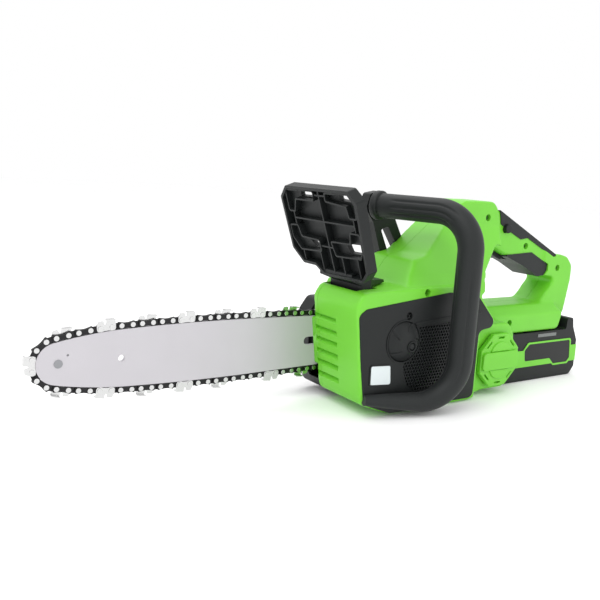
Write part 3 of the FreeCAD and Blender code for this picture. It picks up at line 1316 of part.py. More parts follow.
def label_outline(grow):
    return [(178.0 - grow, 24.5 - grow), (224.0, 24.5 - grow), (232.0, 17.0 - grow),
            (258.0 + grow, 17.0 - grow), (263.0 + grow, 22.0), (260.0 + grow, 45.0 + grow),
            (184.0 - grow, 45.0 + grow), (176.0 - grow, 38.0)]


def main():
    os.makedirs("parts", exist_ok=True)
    make_chain()
    make_bar()
    make_drive()
    make_housing()
    make_bar_mount()
    make_wrap_handle()
    make_guard()
    make_grips()
    make_oil_system()
    make_electrics()
    make_battery()
    print("bar nose at", NOSE_X)


main()
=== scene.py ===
"""Cordless chainsaw: the visual model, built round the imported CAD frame.

Lengths in the lists below are millimetres in the frame's own axes: the bar points
along -X, the left side of the saw is -Y, and +Z is up.
"""
import json
import math

import bmesh
import bpy
from mathutils import Matrix, Vector


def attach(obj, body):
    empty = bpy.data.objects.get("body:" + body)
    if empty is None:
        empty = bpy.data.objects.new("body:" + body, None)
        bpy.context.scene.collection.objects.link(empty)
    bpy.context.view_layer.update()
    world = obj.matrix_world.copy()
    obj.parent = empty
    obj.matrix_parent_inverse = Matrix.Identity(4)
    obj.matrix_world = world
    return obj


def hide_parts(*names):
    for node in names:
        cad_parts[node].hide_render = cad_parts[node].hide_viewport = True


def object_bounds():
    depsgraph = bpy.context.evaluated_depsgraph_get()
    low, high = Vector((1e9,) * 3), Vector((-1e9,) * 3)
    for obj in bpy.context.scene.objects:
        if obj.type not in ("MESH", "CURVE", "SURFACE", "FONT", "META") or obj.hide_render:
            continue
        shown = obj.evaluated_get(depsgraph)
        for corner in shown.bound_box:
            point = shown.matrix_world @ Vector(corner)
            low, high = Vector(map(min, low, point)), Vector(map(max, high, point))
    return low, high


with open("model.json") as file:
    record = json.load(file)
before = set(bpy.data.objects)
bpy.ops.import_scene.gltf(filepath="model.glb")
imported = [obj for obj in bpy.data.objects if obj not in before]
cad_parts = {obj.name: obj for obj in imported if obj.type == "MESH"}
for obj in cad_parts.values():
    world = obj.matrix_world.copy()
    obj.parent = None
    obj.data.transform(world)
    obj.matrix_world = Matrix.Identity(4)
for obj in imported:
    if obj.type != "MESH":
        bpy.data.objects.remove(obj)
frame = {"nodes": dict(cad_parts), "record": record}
CAD_BOX = [list(corner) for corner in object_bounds()]
NODES = frame["nodes"]

MM = 0.001
SPLIT_Y = -15.0      # parting plane of the housing halves, rear handle and battery
LEFT_Y = -80.0       # left face of the motor housing
TOP_Z = 124.0        # top of the motor housing
TANK_Y = -72.0       # left face round the oil tank


# ---------------------------------------------------------------- mesh helpers
def link(name, mesh):
    thing = bpy.data.objects.new(name, mesh)
    bpy.context.scene.collection.objects.link(thing)
    return thing


def from_bmesh(name, bm):
    bmesh.ops.recalc_face_normals(bm, faces=bm.faces)
    mesh = bpy.data.meshes.new(name)
    bm.to_mesh(mesh)
    bm.free()
    return link(name, mesh)


def bake(thing):
    """Apply an object's modifiers to its own mesh."""
    bpy.context.view_layer.update()
    graph = bpy.context.evaluated_depsgraph_get()
    mesh = bpy.data.meshes.new_from_object(thing.evaluated_get(graph))
    thing.modifiers.clear()
    thing.data = mesh
    return thing


def discard(*things):
    for thing in things:
        bpy.data.objects.remove(thing)


def rounded(points, radius, steps=5):
    """Polygon with its corners turned into arcs, each at most 45% of a side."""
    corners = [Vector(point) for point in points]
    count = len(corners)
    outline = []
    for i, corner in enumerate(corners):
        back = corners[i - 1] - corner
        ahead = corners[(i + 1) % count] - corner
        half = back.angle(ahead) / 2
        reach = min(radius / math.tan(half), back.length * 0.45, ahead.length * 0.45)
        bend = reach * math.tan(half)
        centre = corner + (back.normalized() + ahead.normalized()).normalized() * (bend / math.sin(half))
        first = corner + back.normalized() * reach - centre
        last = corner + ahead.normalized() * reach - centre
        for step in range(steps + 1):
            part = step / steps
            spoke = first.lerp(last, part)
            outline.append(centre + spoke.normalized() * bend if bend > 1e-6 else corner)
    return outline


def prism(name, points, y0, y1, radius=0.0, steps=5):
    """Closed solid between two planes of constant Y from (x, z) corners."""
    outline = rounded(points, radius, steps) if radius else [Vector(point) for point in points]
    bm = bmesh.new()
    rings = [[bm.verts.new((p.x * MM, y * MM, p.y * MM)) for p in outline] for y in (y0, y1)]
    bm.faces.new(rings[0])
    bm.faces.new(rings[1])
    count = len(outline)
    for i in range(count):
        j = (i + 1) % count
        bm.faces.new((rings[0][i], rings[0][j], rings[1][j], rings[1][i]))
    return from_bmesh(name, bm)


def disc_points(x, z, radius, count=48):
    return [(x + radius * math.cos(2 * math.pi * i / count), z + radius * math.sin(2 * math.pi * i / count))
            for i in range(count)]


def slab(name, low, high):
    return prism(name, [(low[0], low[2]), (high[0], low[2]), (high[0], high[2]), (low[0], high[2])],
                 low[1], high[1])


def combine(thing, others, how):
    """Boolean of an object with others, which are used up."""
    for other in others:
        modifier = thing.modifiers.new(how, "BOOLEAN")
        modifier.operation = how
        modifier.solver = "EXACT"
        modifier.object = other
    bake(thing)
    discard(*others)
    return thing


def merged(name, things):
    """One object that holds the meshes of several, which are used up."""
    bm = bmesh.new()
    for thing in things:
        bm.from_mesh(thing.data)
    discard(*things)
    return from_bmesh(name, bm)


def moulded(thing, voxel, passes):
    """Fuse overlapping solids and melt their edges and inner corners together."""
    remesh = thing.modifiers.new("fuse", "REMESH")
    remesh.mode = "VOXEL"
    remesh.voxel_size = voxel * MM
    smooth = thing.modifiers.new("melt", "SMOOTH")
    smooth.factor = 0.5
    smooth.iterations = passes
    return bake(thing)


def shade(thing, angle=35.0):
    for face in thing.data.polygons:
        face.use_smooth = True
    thing.data.set_sharp_from_angle(angle=math.radians(angle))
    return thing


def eased(thing, width, segments=3, angle=30.0):
    """Small rounded edges on a crisp solid."""
    weld = thing.modifiers.new("weld", "WELD")
    weld.merge_threshold = 0.00001
    flat = thing.modifiers.new("flat", "DECIMATE")
    flat.decimate_type = "DISSOLVE"
    flat.angle_limit = math.radians(1.0)
    bevel = thing.modifiers.new("edges", "BEVEL")
    bevel.width = width * MM
    bevel.segments = segments
    bevel.limit_method = "ANGLE"
    bevel.angle_limit = math.radians(angle)
    bevel.use_clamp_overlap = True
    bevel.harden_normals = False
    normals = thing.modifiers.new("normals", "WEIGHTED_NORMAL")
    normals.keep_sharp = False
    for face in thing.data.polygons:
        face.use_smooth = True
    return thing


# ---------------------------------------------------------------- materials
def linear(code):
    """Linear colour from an sRGB hex value."""
    parts = [int(code[i:i + 2], 16) / 255 for i in (1, 3, 5)]
    return tuple(c / 12.92 if c <= 0.04045 else ((c + 0.055) / 1.055) ** 2.4 for c in parts) + (1.0,)


def node(tree, kind, settings=None, links=None):
    """Add a node, set its properties and inputs, and link sources to its inputs."""
    made = tree.nodes.new(kind)
    for key, value in (settings or {}).items():
        if key in made.inputs:
            made.inputs[key].default_value = value
        else:
            setattr(made, key, value)
    for key, source in (links or {}).items():
        tree.links.new(source, made.inputs[key])
    return made


def finish(name, colour, roughness, metallic=0.0, grain=0.0, grain_size=0.5, shift=0.06, coat=0.0,
           stretch=(1.0, 1.0, 1.0), rough_spread=0.08, specular=0.5, sheen=0.0):
    """Surface with a fine moulded or machined grain, patchy gloss and slight colour drift."""
    material = bpy.data.materials.new(name)
    material.use_nodes = True
    tree = material.node_tree
    tree.nodes.clear()
    place = node(tree, "ShaderNodeTexCoord").outputs["Object"]
    scaled = node(tree, "ShaderNodeMapping", {"Scale": stretch}, {"Vector": place}).outputs["Vector"]
    fine = node(tree, "ShaderNodeTexNoise", {"Scale": 1.0 / (grain_size * MM), "Detail": 3.0}, {"Vector": scaled})
    broad = node(tree, "ShaderNodeTexNoise", {"Scale": 30.0, "Detail": 2.0}, {"Vector": place})
    base = linear(colour)
    dim = tuple(c * (1 - shift) for c in base[:3]) + (1.0,)
    lift = tuple(min(1.0, c * (1 + shift)) for c in base[:3]) + (1.0,)
    tint = node(tree, "ShaderNodeMixRGB", {"Color1": dim, "Color2": lift}, {"Fac": broad.outputs["Fac"]})
    gloss = node(tree, "ShaderNodeMapRange", {"To Min": roughness - rough_spread, "To Max": roughness + rough_spread},
                 {"Value": fine.outputs["Fac"]})
    shader = node(tree, "ShaderNodeBsdfPrincipled", {"Metallic": metallic},
                  {"Base Color": tint.outputs["Color"], "Roughness": gloss.outputs["Result"]})
    if not metallic:
        shader.inputs["IOR"].default_value = 1.5
        shader.inputs["Specular IOR Level"].default_value = specular
    if coat:
        shader.inputs["Coat Weight"].default_value = coat
        shader.inputs["Coat Roughness"].default_value = 0.15
    if sheen:
        shader.inputs["Sheen Weight"].default_value = sheen
        shader.inputs["Sheen Roughness"].default_value = 0.4
    if grain:
        bump = node(tree, "ShaderNodeBump", {"Strength": 0.6, "Distance": grain * MM},
                    {"Height": fine.outputs["Fac"]})
        tree.links.new(bump.outputs["Normal"], shader.inputs["Normal"])
    node(tree, "ShaderNodeOutputMaterial", {}, {"Surface": shader.outputs["BSDF"]})
    return material


# Moulded ABS with a fine spark-eroded texture: satin, with soft bright edges.
GREEN_ABS = finish("green_abs_moulded", "#6CC52C", 0.42, grain=0.05, grain_size=0.45, shift=0.05)
# Glass-filled nylon: darker, a little drier, with the same fine texture.
BLACK_NYLON = finish("black_nylon_moulded", "#171A1A", 0.48, grain=0.06, grain_size=0.5, shift=0.10,
                     specular=0.28)
# Soft overmould on the grips and tube: matt, with a faint bloom.
BLACK_RUBBER = finish("black_rubber_overmould", "#1E2121", 0.55, grain=0.05, grain_size=0.6, shift=0.10,
                      sheen=0.06, specular=0.3)
# Polyethylene oil window: pale and slightly cloudy.
PALE_POLY = finish("pale_polyethylene", "#D5DEDF", 0.30, shift=0.03, coat=0.3)
# Bar steel under a thin silver lacquer: even light grey with faint lengthwise streaks; its faint lavender tint is
# painted in to offset the green light the housing throws onto the bar.
GROUND_STEEL = finish("silver_lacquered_steel", "#BBB8BD", 0.42, metallic=0.15, grain=0.012, grain_size=0.6,
                      stretch=(0.04, 1.0, 1.0), shift=0.03)
# Black oxide on the chain's straps and links.
OXIDE_STEEL = finish("black_oxide_steel", "#2E2E2F", 0.32, metallic=0.9, grain=0.02, grain_size=0.4, shift=0.15)
# Hard chrome on the cutters and the rivets' rubbed heads.
CHROME_STEEL = finish("hard_chrome_cutter", "#C9C9C9", 0.24, metallic=1.0, shift=0.04)
# Turned and milled steel inside the saw.
TURNED_STEEL = finish("turned_steel", "#8E8F92", 0.34, metallic=1.0, grain=0.01, grain_size=0.3, shift=0.06)
CAST_ALUMINIUM = finish("die_cast_aluminium", "#B7B8BB", 0.48, metallic=1.0, grain=0.08, grain_size=0.9)
COPPER_WIRE = finish("enamelled_copper", "#B8693A", 0.3, metallic=1.0, grain=0.15, grain_size=0.8,
                     stretch=(1.0, 4.0, 1.0))
SOLDER_MASK = finish("solder_mask_board", "#0F5A2A", 0.35, coat=0.4)
CELL_SLEEVE = finish("heat_shrink_sleeve", "#2F62A8", 0.3, coat=0.3)
# Printed film on the battery, left blank, under a thin clear layer.
LABEL_FILM = finish("blank_label_film", "#0C0E0E", 0.3, specular=0.3)
NATURAL_POLY = finish("natural_polyethylene", "#E4E3DA", 0.42)
SMOKED_LENS = finish("smoked_lens", "#595E5C", 0.2, coat=0.6)

SLOT_FINISH = {
    "green_plastic": GREEN_ABS, "black_plastic": BLACK_NYLON, "black_rubber": BLACK_RUBBER,
    "window_plastic": PALE_POLY, "bar_steel": GROUND_STEEL, "chain_steel": OXIDE_STEEL,
    "cutter_steel": CHROME_STEEL, "machine_steel": TURNED_STEEL, "cast_aluminium": CAST_ALUMINIUM,
    "copper_wire": COPPER_WIRE, "circuit_board": SOLDER_MASK, "cell_wrap": CELL_SLEEVE,
    "label_film": LABEL_FILM, "natural_plastic": NATURAL_POLY, "lamp_plastic": SMOKED_LENS}


def paint(thing, material):
    thing.data.materials.clear()
    thing.data.materials.append(material)
    return thing


def mount(thing, body, slot, *replaced):
    """Paint a finished piece in its slot's finish, attach it to its body and hide the CAD nodes it stands for."""
    paint(thing, SLOT_FINISH[slot])
    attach(thing, body)
    if replaced:
        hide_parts(*replaced)
    return thing


def paint_frame():
    for part in frame["record"]["subparts"]:
        paint(NODES[part["node"]], SLOT_FINISH[part["material_slot"]])


# Edge rounding of the CAD nodes that stay, in millimetres.
EDGE_WIDTHS = {
    "hand_guard": 0.5, "handle_strut": 1.6, "sprocket_cover": 2.4, "side_cover": 1.2, "oil_cap": 0.9,
    "oil_window": 0.5, "battery_upper_case": 1.6, "battery_lower_case": 1.6, "battery_band": 0.3,
    "battery_release": 0.4, "trigger": 1.6, "lock_off_button": 0.8, "bar_nuts": 0.5, "guide_bar": 0.15,
    "chain_tie_straps": 0.15, "chain_left_cutters": 0.15, "chain_right_cutters": 0.15, "chain_rivets": 0.15,
    "chain_drive_links": 0.12, "housing_screws": 0.2, "drive_sprocket": 0.3, "gear_case": 0.6}


def ease_frame():
    for name, width in EDGE_WIDTHS.items():
        eased(NODES[name], width)


# ---------------------------------------------------------------- housing
def body_blocks():
    """The plain solids whose melted union is the outside of the housing."""
    block = prism("block", [(-92, 13), (-106, 112), (-98, 124), (-30, 126), (52, 126), (93, 80), (88, 6),
                            (58, 0), (-58, 0)], LEFT_Y, -7.0, 10.0)
    combine(block, [slab("step", (66, -120, -50), (200, TANK_Y, 84))], "DIFFERENCE")
    shoulder = prism("shoulder", [(-78, 90), (-74, 110), (-68, 124), (52, 124), (66, 106)], -30.0, 22.0, 5.0)
    riser = prism("riser", [(-44, 110), (-44, 124), (-38, 127), (-18, 151), (0, 155), (36, 184), (65, 212),
                            (113, 212), (120, 204), (126, 186), (120, 161), (84, 136), (66, 116), (48, 110)],
                  LEFT_Y, 22.0, 8.0)
    combine(riser, [riser_envelope()], "INTERSECT")
    gap_corners = [(113, 166), (148, 150), (177, 139), (207, 125), (231, 124), (236, 117), (213, 92), (98, 92),
                   (70, 114), (84, 137)]
    loop_corners = [(54, 112), (89, 208), (126, 203.5), (236, 149.5), (246, 150.5), (259, 147.5), (269, 137),
                    (270, 122), (262, 74.5), (250, 74.5), (246, 64), (150, 64), (84, 84)]
    loop = prism("loop", loop_corners, SPLIT_Y - 18, SPLIT_Y + 18, 10.0)
    post = prism("post", loop_corners, SPLIT_Y - 21, SPLIT_Y + 21, 10.0)
    combine(post, [slab("rear_only", (214, -99, 0), (300, 99, 160))], "INTERSECT")
    for thing in (loop, post, riser):
        combine(thing, [prism("finger_gap", gap_corners, -99, 99, 9.0)], "DIFFERENCE")
    base = prism("base", [(88, 90), (98, 92), (238, 92), (243, 80), (237, 60), (112, 60), (84, 66)],
                 SPLIT_Y - 35, SPLIT_Y + 35, 5.0)
    combine(base, [base_envelope()], "INTERSECT")
    tank = prism("tank", [(63, 14), (63, 76), (68, 80), (120, 80), (130, 67), (131, 54), (131, 26), (122, 6),
                          (72, 6)],
                 TANK_Y, -7.0, 6.0)
    return [block, shoulder, riser, loop, post, base, tank]


def cross_prism(name, corners, x0, x1):
    """Closed solid between two planes of constant X from (y, z) corners."""
    bm = bmesh.new()
    rings = [[bm.verts.new((x * MM, y * MM, z * MM)) for y, z in corners] for x in (x0, x1)]
    bm.faces.new(rings[0])
    bm.faces.new(rings[1])
    count = len(corners)
    for i in range(count):
        j = (i + 1) % count
        bm.faces.new((rings[0][i], rings[0][j], rings[1][j], rings[1][i]))
    return from_bmesh(name, bm)


def riser_envelope():
    return cross_prism("riser_envelope", [(-80, 104), (-80, 118), (-64, 136), (-39, 185), (-39, 220),
                                          (9, 220), (9, 144), (22, 126), (22, 104)], -60, 200)


def base_envelope():
    return cross_prism("base_envelope", [(-50, 0), (-50, 81), (-36, 93), (6, 93), (20, 81), (20, 0)], 60, 320)


COVER = [(-89.5, 14), (-96, 54), (-102.6, 103), (-94, 108.5), (14, 120.2), (54, 117), (90, 80.5), (62, 76.5),
         (62, 3), (-58, 3)]
SCREWS = [(-17, 121, -56), (104, 194, -39), (180, 161, -33), (240, 134, -36), (146, 73, -33)]
GRIP_TOP = [(126, 211), (238, 157), (237, 148.5), (231, 147.3), (181, 170.7), (169, 169), (150, 177.5),
            (132, 186.5)]
GRIP_LOW = [(148, 151), (191, 153.5), (222, 139), (222, 131), (217, 125), (206, 117), (177, 131), (148, 142)]


def make_housing():
    shell = moulded(merged("housing", body_blocks()), 1.5, 24)
    louvres = [front_louvre(z) for z in (89, 76, 64.5, 52, 40.5, 27.5)]
    cuts = [prism("panel_room", COVER, LEFT_Y - 8, LEFT_Y + 3, 7.0),
            prism("cap_room", disc_points(101, 40.5, 20.2), -120, TANK_Y + 12),
            prism("grip_top_room", GRIP_TOP, -60, 30, 2.0),
            prism("grip_low_room", GRIP_LOW, -60, 30, 2.0),
            prism("trigger_room", [(112, 158), (150, 136), (165, 146), (165, 162), (146, 178), (118, 178)],
                  SPLIT_Y - 7.4, SPLIT_Y + 7.4),
            prism("lock_room", disc_points(142, 181.5, 5.4), -60, 30),
            slab("guard_slot", (-96, -64.4, 104), (-70, -11.6, 140)),
            slab("battery_mouth", (120, -42, 50), (300, 12, 70)),
            prism("spindle_hole", disc_points(0, 61, 11), -13.1, 10)]
    for x, z, face in SCREWS:
        cuts.append(prism("well", disc_points(x, z, 3.9), face - 30, face + 7))
    combine(shell, [prism("bar_pad", [(-94.5, 37), (-101.8, 87), (-35, 81), (-35, 41)], -12, -2.2, 2.0)], "UNION")
    combine(shell, cuts + louvres, "DIFFERENCE")
    halves = []
    gap = 0.18
    for name, y0, y1 in (("housing_left_shell", -200, SPLIT_Y - gap), ("housing_right_shell", SPLIT_Y + gap, 200)):
        half = link(name, shell.data.copy())
        combine(half, [slab("half_space", (-200, y0, -50), (400, y1, 300))], "INTERSECT")
        halves.append(shade(half, 40))
    discard(shell)
    mount(halves[0], "powerhead", "green_plastic", "housing_left")
    mount(halves[1], "powerhead", "green_plastic", "housing_right")


def front_louvre(z):
    """Notch in the front face with a steep top and a gently sloped floor."""
    face = -92 - 14 * (z - 13) / 99
    return prism("louvre", [(face - 4, z - 6.2), (face + 4.2, z + 2.0), (face + 3.8, z + 3.6), (face - 4, z + 4.4)],
                 -45, -8, 1.0, 3)


def eased_now(thing, width, segments=3):
    eased(thing, width, segments)
    return bake(thing)


# ---------------------------------------------------------------- left cover
DOME = (-45.0, 73.5)
WINDOW = [(-83.5, 33.0), (-84.0, 52.0), (-59.5, 50.5), (-57.5, 31.0)]
VENT = [(-30, 86), (52, 92), (53, 60), (30, 30), (4, 22), (-22, 18), (-36, 28), (-43, 46)]


def make_left_cover():
    """Black side cover with its vent opening, screw hole, window frame and seam."""
    plate = prism("side_cover_shell", COVER, LEFT_Y - 0.9, LEFT_Y + 2.8, 7.0, 8)
    eased_now(plate, 0.7)
    rim = prism("vent_rim", VENT, LEFT_Y - 9, LEFT_Y + 9, 6.0)
    dome_room = prism("dome_room", disc_points(*DOME, 20.9), LEFT_Y - 9, LEFT_Y + 9)
    window_room = prism("window_room", WINDOW, LEFT_Y - 9, LEFT_Y + 9, 1.5)
    screw_room = prism("screw_room", disc_points(-40, 98.8, 4.0), LEFT_Y - 9, LEFT_Y + 9)
    combine(plate, [rim, dome_room, window_room, screw_room], "DIFFERENCE")
    vent_lip = prism("vent_lip", [(-40, 91), (60, 99), (62, 96), (-40, 87.5)], LEFT_Y - 1.6, LEFT_Y, 1.0)
    collar = ring_wall("dome_collar", DOME, 22.0, 20.8, LEFT_Y - 1.6, LEFT_Y + 2.0)
    frame_lip = ring_shape("window_frame", WINDOW, 2.2, LEFT_Y - 1.5, LEFT_Y + 1.5)
    backing = prism("backing", COVER, LEFT_Y + 2.2, LEFT_Y + 2.9, 7.0)
    cover = merged("side_cover_shell", [plate, eased_now(vent_lip, 0.5), collar, frame_lip, backing])
    mount(shade(cover, 35), "powerhead", "black_plastic", "side_cover")
    glass = prism("oil_window_pane", WINDOW, LEFT_Y - 1.3, LEFT_Y + 3.0, 2.2)
    mount(eased(glass, 0.5), "powerhead", "window_plastic", "oil_window")




def ring_wall(name, centre, outer, inner, y0, y1):
    ring = prism(name, disc_points(*centre, outer, 72), y0, y1)
    return combine(ring, [prism("bore", disc_points(*centre, inner, 72), y0 - 3, y1 + 3)], "DIFFERENCE")


def ring_shape(name, corners, width, y0, y1):
    """Frame round a polygon, of even width."""
    middle = Vector((sum(x for x, z in corners) / len(corners), sum(z for x, z in corners) / len(corners)))
    outer = []
    for x, z in corners:
        away = Vector((x, z)) - middle
        outer.append(middle + away + away.normalized() * width)
    frame_ring = prism(name, outer, y0, y1, 3.0)
    return combine(frame_ring, [prism("bore", corners, y0 - 3, y1 + 3, 1.5)], "DIFFERENCE")


def make_grille():
    """Honeycomb of thin walls behind the vent opening."""
    pitch, web, depth = 3.7, 0.62, 1.6
    cell = pitch / 2
    bm = bmesh.new()
    face_y = LEFT_Y + 0.5
    for row in range(28):
        for column in range(30):
            x = -50 + (column + 0.5 * (row % 2)) * pitch
            z = 12 + row * pitch * 0.866
            if math.hypot(x - DOME[0], z - DOME[1]) < 20:
                continue
            corner_r = cell / math.cos(math.pi / 6)
            rings = []
            for radius, y in ((corner_r, face_y), (corner_r - web, face_y), (corner_r - web, face_y + depth)):
                rings.append([bm.verts.new((MM * (x + radius * math.sin(math.pi / 3 * k)), MM * y,
                                            MM * (z + radius * math.cos(math.pi / 3 * k)))) for k in range(6)])
            for first, second in zip(rings, rings[1:]):
                for k in range(6):
                    bm.faces.new((first[k], first[(k + 1) % 6], second[(k + 1) % 6], second[k]))
    mesh = from_bmesh("vent_honeycomb", bm)
    mount(mesh, "powerhead", "black_plastic", "vent_grille")


def make_oil_cap():
    """Octagonal filler cap: eight slots near its rim, a raised band and two raised lobes."""
    x, z, radius = 101.0, 40.5, 29.5
    face = TANK_Y - 1.2
    corner_r = radius / math.cos(math.pi / 8)
    plate = prism("cap_plate", [(x + corner_r * math.cos(math.pi / 8 * (2 * i + 1)),
                                 z + corner_r * math.sin(math.pi / 8 * (2 * i + 1))) for i in range(8)],
                  face - 6, face - 0.3, 2.0)
    eased_now(plate, 1.2)
    slots = []
    for i in range(8):
        turn = math.pi / 4 * i
        out = Vector((math.cos(turn), math.sin(turn)))
        side = Vector((-out.y, out.x))
        corners = [Vector((x, z)) + out * a + side * b for a, b in
                   ((radius - 5.2, -4.8), (radius - 3.0, -4.8), (radius - 3.0, 4.8), (radius - 5.2, 4.8))]
        slots.append(prism("slot", corners, face - 9, face - 2.5, 0.8))
    combine(plate, slots, "DIFFERENCE")
    band = prism("cap_band", [(x - 25, z - 10), (x + 25, z - 10), (x + 28, z - 7), (x + 28, z + 7), (x + 25, z + 10),
                              (x - 25, z + 10), (x - 28, z + 7), (x - 28, z - 7)], face - 9, face - 4, 1.0)
    eased_now(band, 1.2)
    lobes = []
    for side in (-1, 1):
        arc = [(x + 16 * math.cos(t), z + side * 16 * math.sin(t) + side * 5) for t in
               [math.radians(20 + 140 * k / 24) for k in range(25)]]
        lobe = prism("lobe", arc, face - 7.4, face - 4, 0.0)
        lobes.append(eased_now(lobe, 0.8))
    cap = merged("oil_cap_moulded", [plate, band] + lobes)
    mount(shade(cap, 35), "filler_cap", "green_plastic", "oil_cap")


def make_motor_cap():
    """Low dome with curved notches and a small button in a ring."""
    x, z = DOME
    bm = bmesh.new()
    rings = []
    around = 144
    steps = 40
    for i in range(steps + 1):
        part = i / steps
        radius = 20.6 * part
        ring = []
        for k in range(around):
            angle = 2 * math.pi * k / around
            rise = 7.0 * (1 - part ** 2.6) + 1.0
            swirl = (angle * 5 / (2 * math.pi) + 0.55 * part) % 1.0
            if 0.52 < part < 0.93:
                rise -= 1.6 * max(0.0, 1 - abs(swirl - 0.5) / 0.045)
            edge_step = 0.9 if part > 0.95 else 0.0
            ring.append(bm.verts.new((MM * (x + radius * math.cos(angle)), MM * (LEFT_Y - rise + edge_step),
                                      MM * (z + radius * math.sin(angle)))))
        rings.append(ring)
    for first, second in zip(rings, rings[1:]):
        for k in range(around):
            j = (k + 1) % around
            bm.faces.new((first[k], first[j], second[j], second[k]))
    bmesh.ops.remove_doubles(bm, verts=bm.verts, dist=1e-6)
    dome = from_bmesh("motor_cap_dome", bm)
    bx, bz = x + 5.0, z - 3.8
    rim = ring_wall("button_ring", (bx, bz), 5.4, 4.0, LEFT_Y - 9.4, LEFT_Y - 5)
    button = prism("button", disc_points(bx, bz, 3.4, 40), LEFT_Y - 9.0, LEFT_Y - 5)
    eased_now(rim, 0.5)
    eased_now(button, 1.2)
    cap = merged("motor_cap_dome", [dome, rim, button])
    mount(shade(cap, 40), "powerhead", "black_plastic", "motor_cap")


# ---------------------------------------------------------------- swept tubes
def bent_path(points, radii, step=2.0):
    """Points along straight runs joined by tangent arcs."""
    corners = [Vector(point) for point in points]
    path = [corners[0]]
    for i in range(1, len(corners) - 1):
        corner = corners[i]
        back = (corners[i - 1] - corner).normalized()
        ahead = (corners[i + 1] - corner).normalized()
        half = back.angle(ahead) / 2
        reach = radii[i - 1] / math.tan(half)
        centre = corner + (back + ahead).normalized() * (radii[i - 1] / math.sin(half))
        first = corner + back * reach
        last = corner + ahead * reach
        run = (first - path[-1]).length
        for k in range(1, int(run / step)):
            path.append(path[-1].lerp(first, 1.0 / (int(run / step) - k + 1)))
        turn = math.pi - 2 * half
        arcs = max(6, int(turn * radii[i - 1] / step))
        axis = (first - centre).cross(last - centre).normalized()
        for k in range(arcs + 1):
            path.append(centre + Matrix.Rotation(turn * k / arcs, 3, axis) @ (first - centre))
    run = (corners[-1] - path[-1]).length
    count = max(2, int(run / step))
    start = path[-1]
    path.extend(start.lerp(corners[-1], k / count) for k in range(1, count + 1))
    return path


def sweep(name, path, section, side):
    """Tube along a path; section(part, angle) gives (across, along the side) offsets."""
    bm = bmesh.new()
    rings = []
    around = 96
    total = len(path) - 1
    lateral = Vector(side)
    for i, point in enumerate(path):
        ahead = (path[min(i + 1, total)] - path[max(i - 1, 0)]).normalized()
        lateral = (lateral - ahead * lateral.dot(ahead)).normalized()
        normal = ahead.cross(lateral)
        ring = []
        for k in range(around):
            across, along = section(i / total, 2 * math.pi * k / around)
            ring.append(bm.verts.new((point + normal * across + lateral * along) * MM))
        rings.append(ring)
    for first, second in zip(rings, rings[1:]):
        for k in range(around):
            j = (k + 1) % around
            bm.faces.new((first[k], first[j], second[j], second[k]))
    bm.faces.new(rings[0])
    bm.faces.new(rings[-1])
    return from_bmesh(name, bm)


HANDLE_POINTS = [(-25, 14, 202), (11, -105, 202), (11, -105, 10.5), (-91, -82, 19)]


def handle_section(part, angle):
    """Round tube: three grooves along the top run, one down the leg, a tapering foot."""
    radius = 13.0
    top_run = max(0.0, min(1.0, (0.28 - part) / 0.03)) * max(0.0, min(1.0, (part - 0.06) / 0.02))
    leg = max(0.0, min(1.0, (part - 0.40) / 0.04)) * max(0.0, min(1.0, (0.74 - part) / 0.05))
    for centre, fade in ((0.98, top_run), (1.55, top_run), (2.12, top_run), (2.3, leg), (0.9, leg)):
        gap = (angle - centre + math.pi) % (2 * math.pi) - math.pi
        radius -= 1.2 * math.exp(-(gap * 13.0 / 1.2) ** 2) * fade
    foot = max(0.0, (part - 0.70) / 0.30)
    shrink = 1 - 0.58 * foot ** 1.2
    return radius * math.cos(angle) * shrink, radius * math.sin(angle) * (1 - 0.62 * foot ** 1.1)


def make_wrap_handle():
    """Rubber-covered tube from the strut's collar to a foot that melts into the cover."""
    path = bent_path(HANDLE_POINTS, [38, 42])
    path = [point for point in path if point.y < 5.2]
    tube = sweep("wrap_handle_tube", path, handle_section, (-1, 0, 0))
    shade(tube, 60)
    along = (path[0] - path[6]).normalized()
    collar = sweep("collar", [path[0] + along * k for k in (-7.5, -7, -6, -1, 0, 0.5)], collar_section, (-1, 0, 0))
    foot = prism("foot", [(-88, 13), (-87, 24), (-60, 20), (-20, 15), (4, 12), (4, 3), (-60, 3)], -93, -79.5, 4.0)
    for vertex in foot.data.vertices:
        if vertex.co.y < -0.09:
            vertex.co.y += 0.010 * max(0.0, min(1.0, (-0.02 - vertex.co.x) / 0.07))
    eased_now(foot, 3.0, 5)
    handle = merged("wrap_handle_tube", [tube, collar, foot])
    mount(shade(handle, 50), "powerhead", "black_rubber", "wrap_handle")


def collar_section(part, angle):
    radius = 13.0 + 2.6 * math.sin(math.pi * min(1.0, max(0.0, part * 1.2 - 0.1))) ** 0.4
    return radius * math.cos(angle), radius * math.sin(angle)


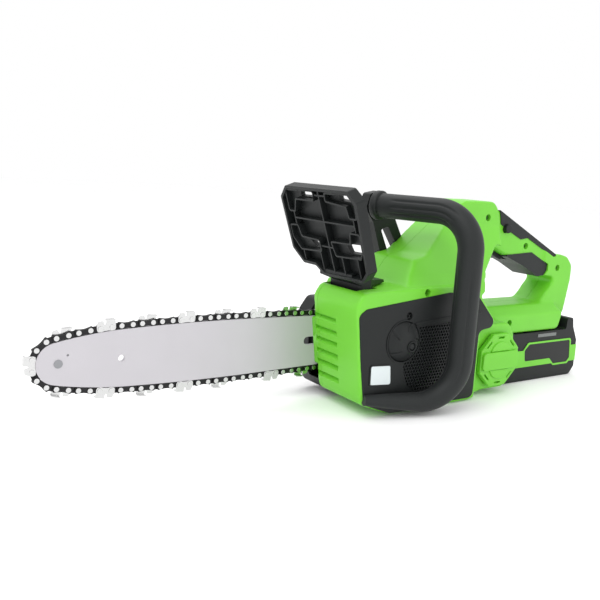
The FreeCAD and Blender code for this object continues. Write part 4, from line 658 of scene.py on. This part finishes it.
# ---------------------------------------------------------------- stage
def make_stage():
    bm = bmesh.new()
    bmesh.ops.create_grid(bm, x_segments=1, y_segments=1, size=6.0)
    floor = from_bmesh("floor", bm)
    floor.location.z = CAD_BOX[0][2] - 0.0005
    surface = finish("white_studio_floor", "#FFFFFF", 0.9, shift=0.0, specular=0.1)
    paint(floor, surface)
    world = bpy.data.worlds.new("studio")
    bpy.context.scene.world = world
    world.use_nodes = True
    world.node_tree.nodes["Background"].inputs["Color"].default_value = (1.0, 1.0, 1.0, 1.0)
    world.node_tree.nodes["Background"].inputs["Strength"].default_value = 1.0
    add_light("key", (-0.9, -0.6, 1.3), (0.05, -0.03, 0.1), 1.0, 9.0)
    add_light("fill", (0.9, -1.3, 0.5), (0.05, -0.03, 0.1), 1.2, 3.0)
    add_light("top", (0.1, 0.5, 1.4), (0.05, -0.03, 0.1), 1.2, 7.0)
    view = bpy.context.scene.view_settings
    view.view_transform = "Standard"
    view.look = "None"


def add_light(name, place, target, size, power):
    lamp = bpy.data.lights.new(name, "AREA")
    lamp.size = size
    lamp.energy = power
    thing = bpy.data.objects.new(name, lamp)
    bpy.context.scene.collection.objects.link(thing)
    thing.location = place
    aim = Vector(target) - Vector(place)
    thing.rotation_euler = aim.to_track_quat("-Z", "Y").to_euler()


def make_camera():
    """Three-quarter view of the left front, a little above and slightly rolled."""
    turn, lift, roll = math.radians(-34.28), math.radians(10.10), math.radians(3.58)
    level = Vector((math.cos(turn), math.sin(turn), 0))
    back = Vector((math.sin(turn) * math.cos(lift), -math.cos(turn) * math.cos(lift), math.sin(lift)))
    upward = back.cross(level)
    right = level * math.cos(roll) + upward * math.sin(roll)
    up = upward * math.cos(roll) - level * math.sin(roll)
    lens = bpy.data.cameras.new("camera")
    lens.lens = 44.73
    lens.sensor_width = 36.0
    lens.clip_end = 50.0
    camera = bpy.data.objects.new("camera", lens)
    bpy.context.scene.collection.objects.link(camera)
    spin = Matrix((right, up, back)).transposed().to_4x4()
    camera.matrix_world = Matrix.Translation(Vector((-536.49, -616.17, 236.84)) * MM) @ spin
    bpy.context.scene.camera = camera


paint_frame()
ease_frame()
make_housing()
make_left_cover()
make_grille()
make_motor_cap()
make_oil_cap()
make_wrap_handle()
make_stage()
make_camera()

bpy.context.view_layer.update()
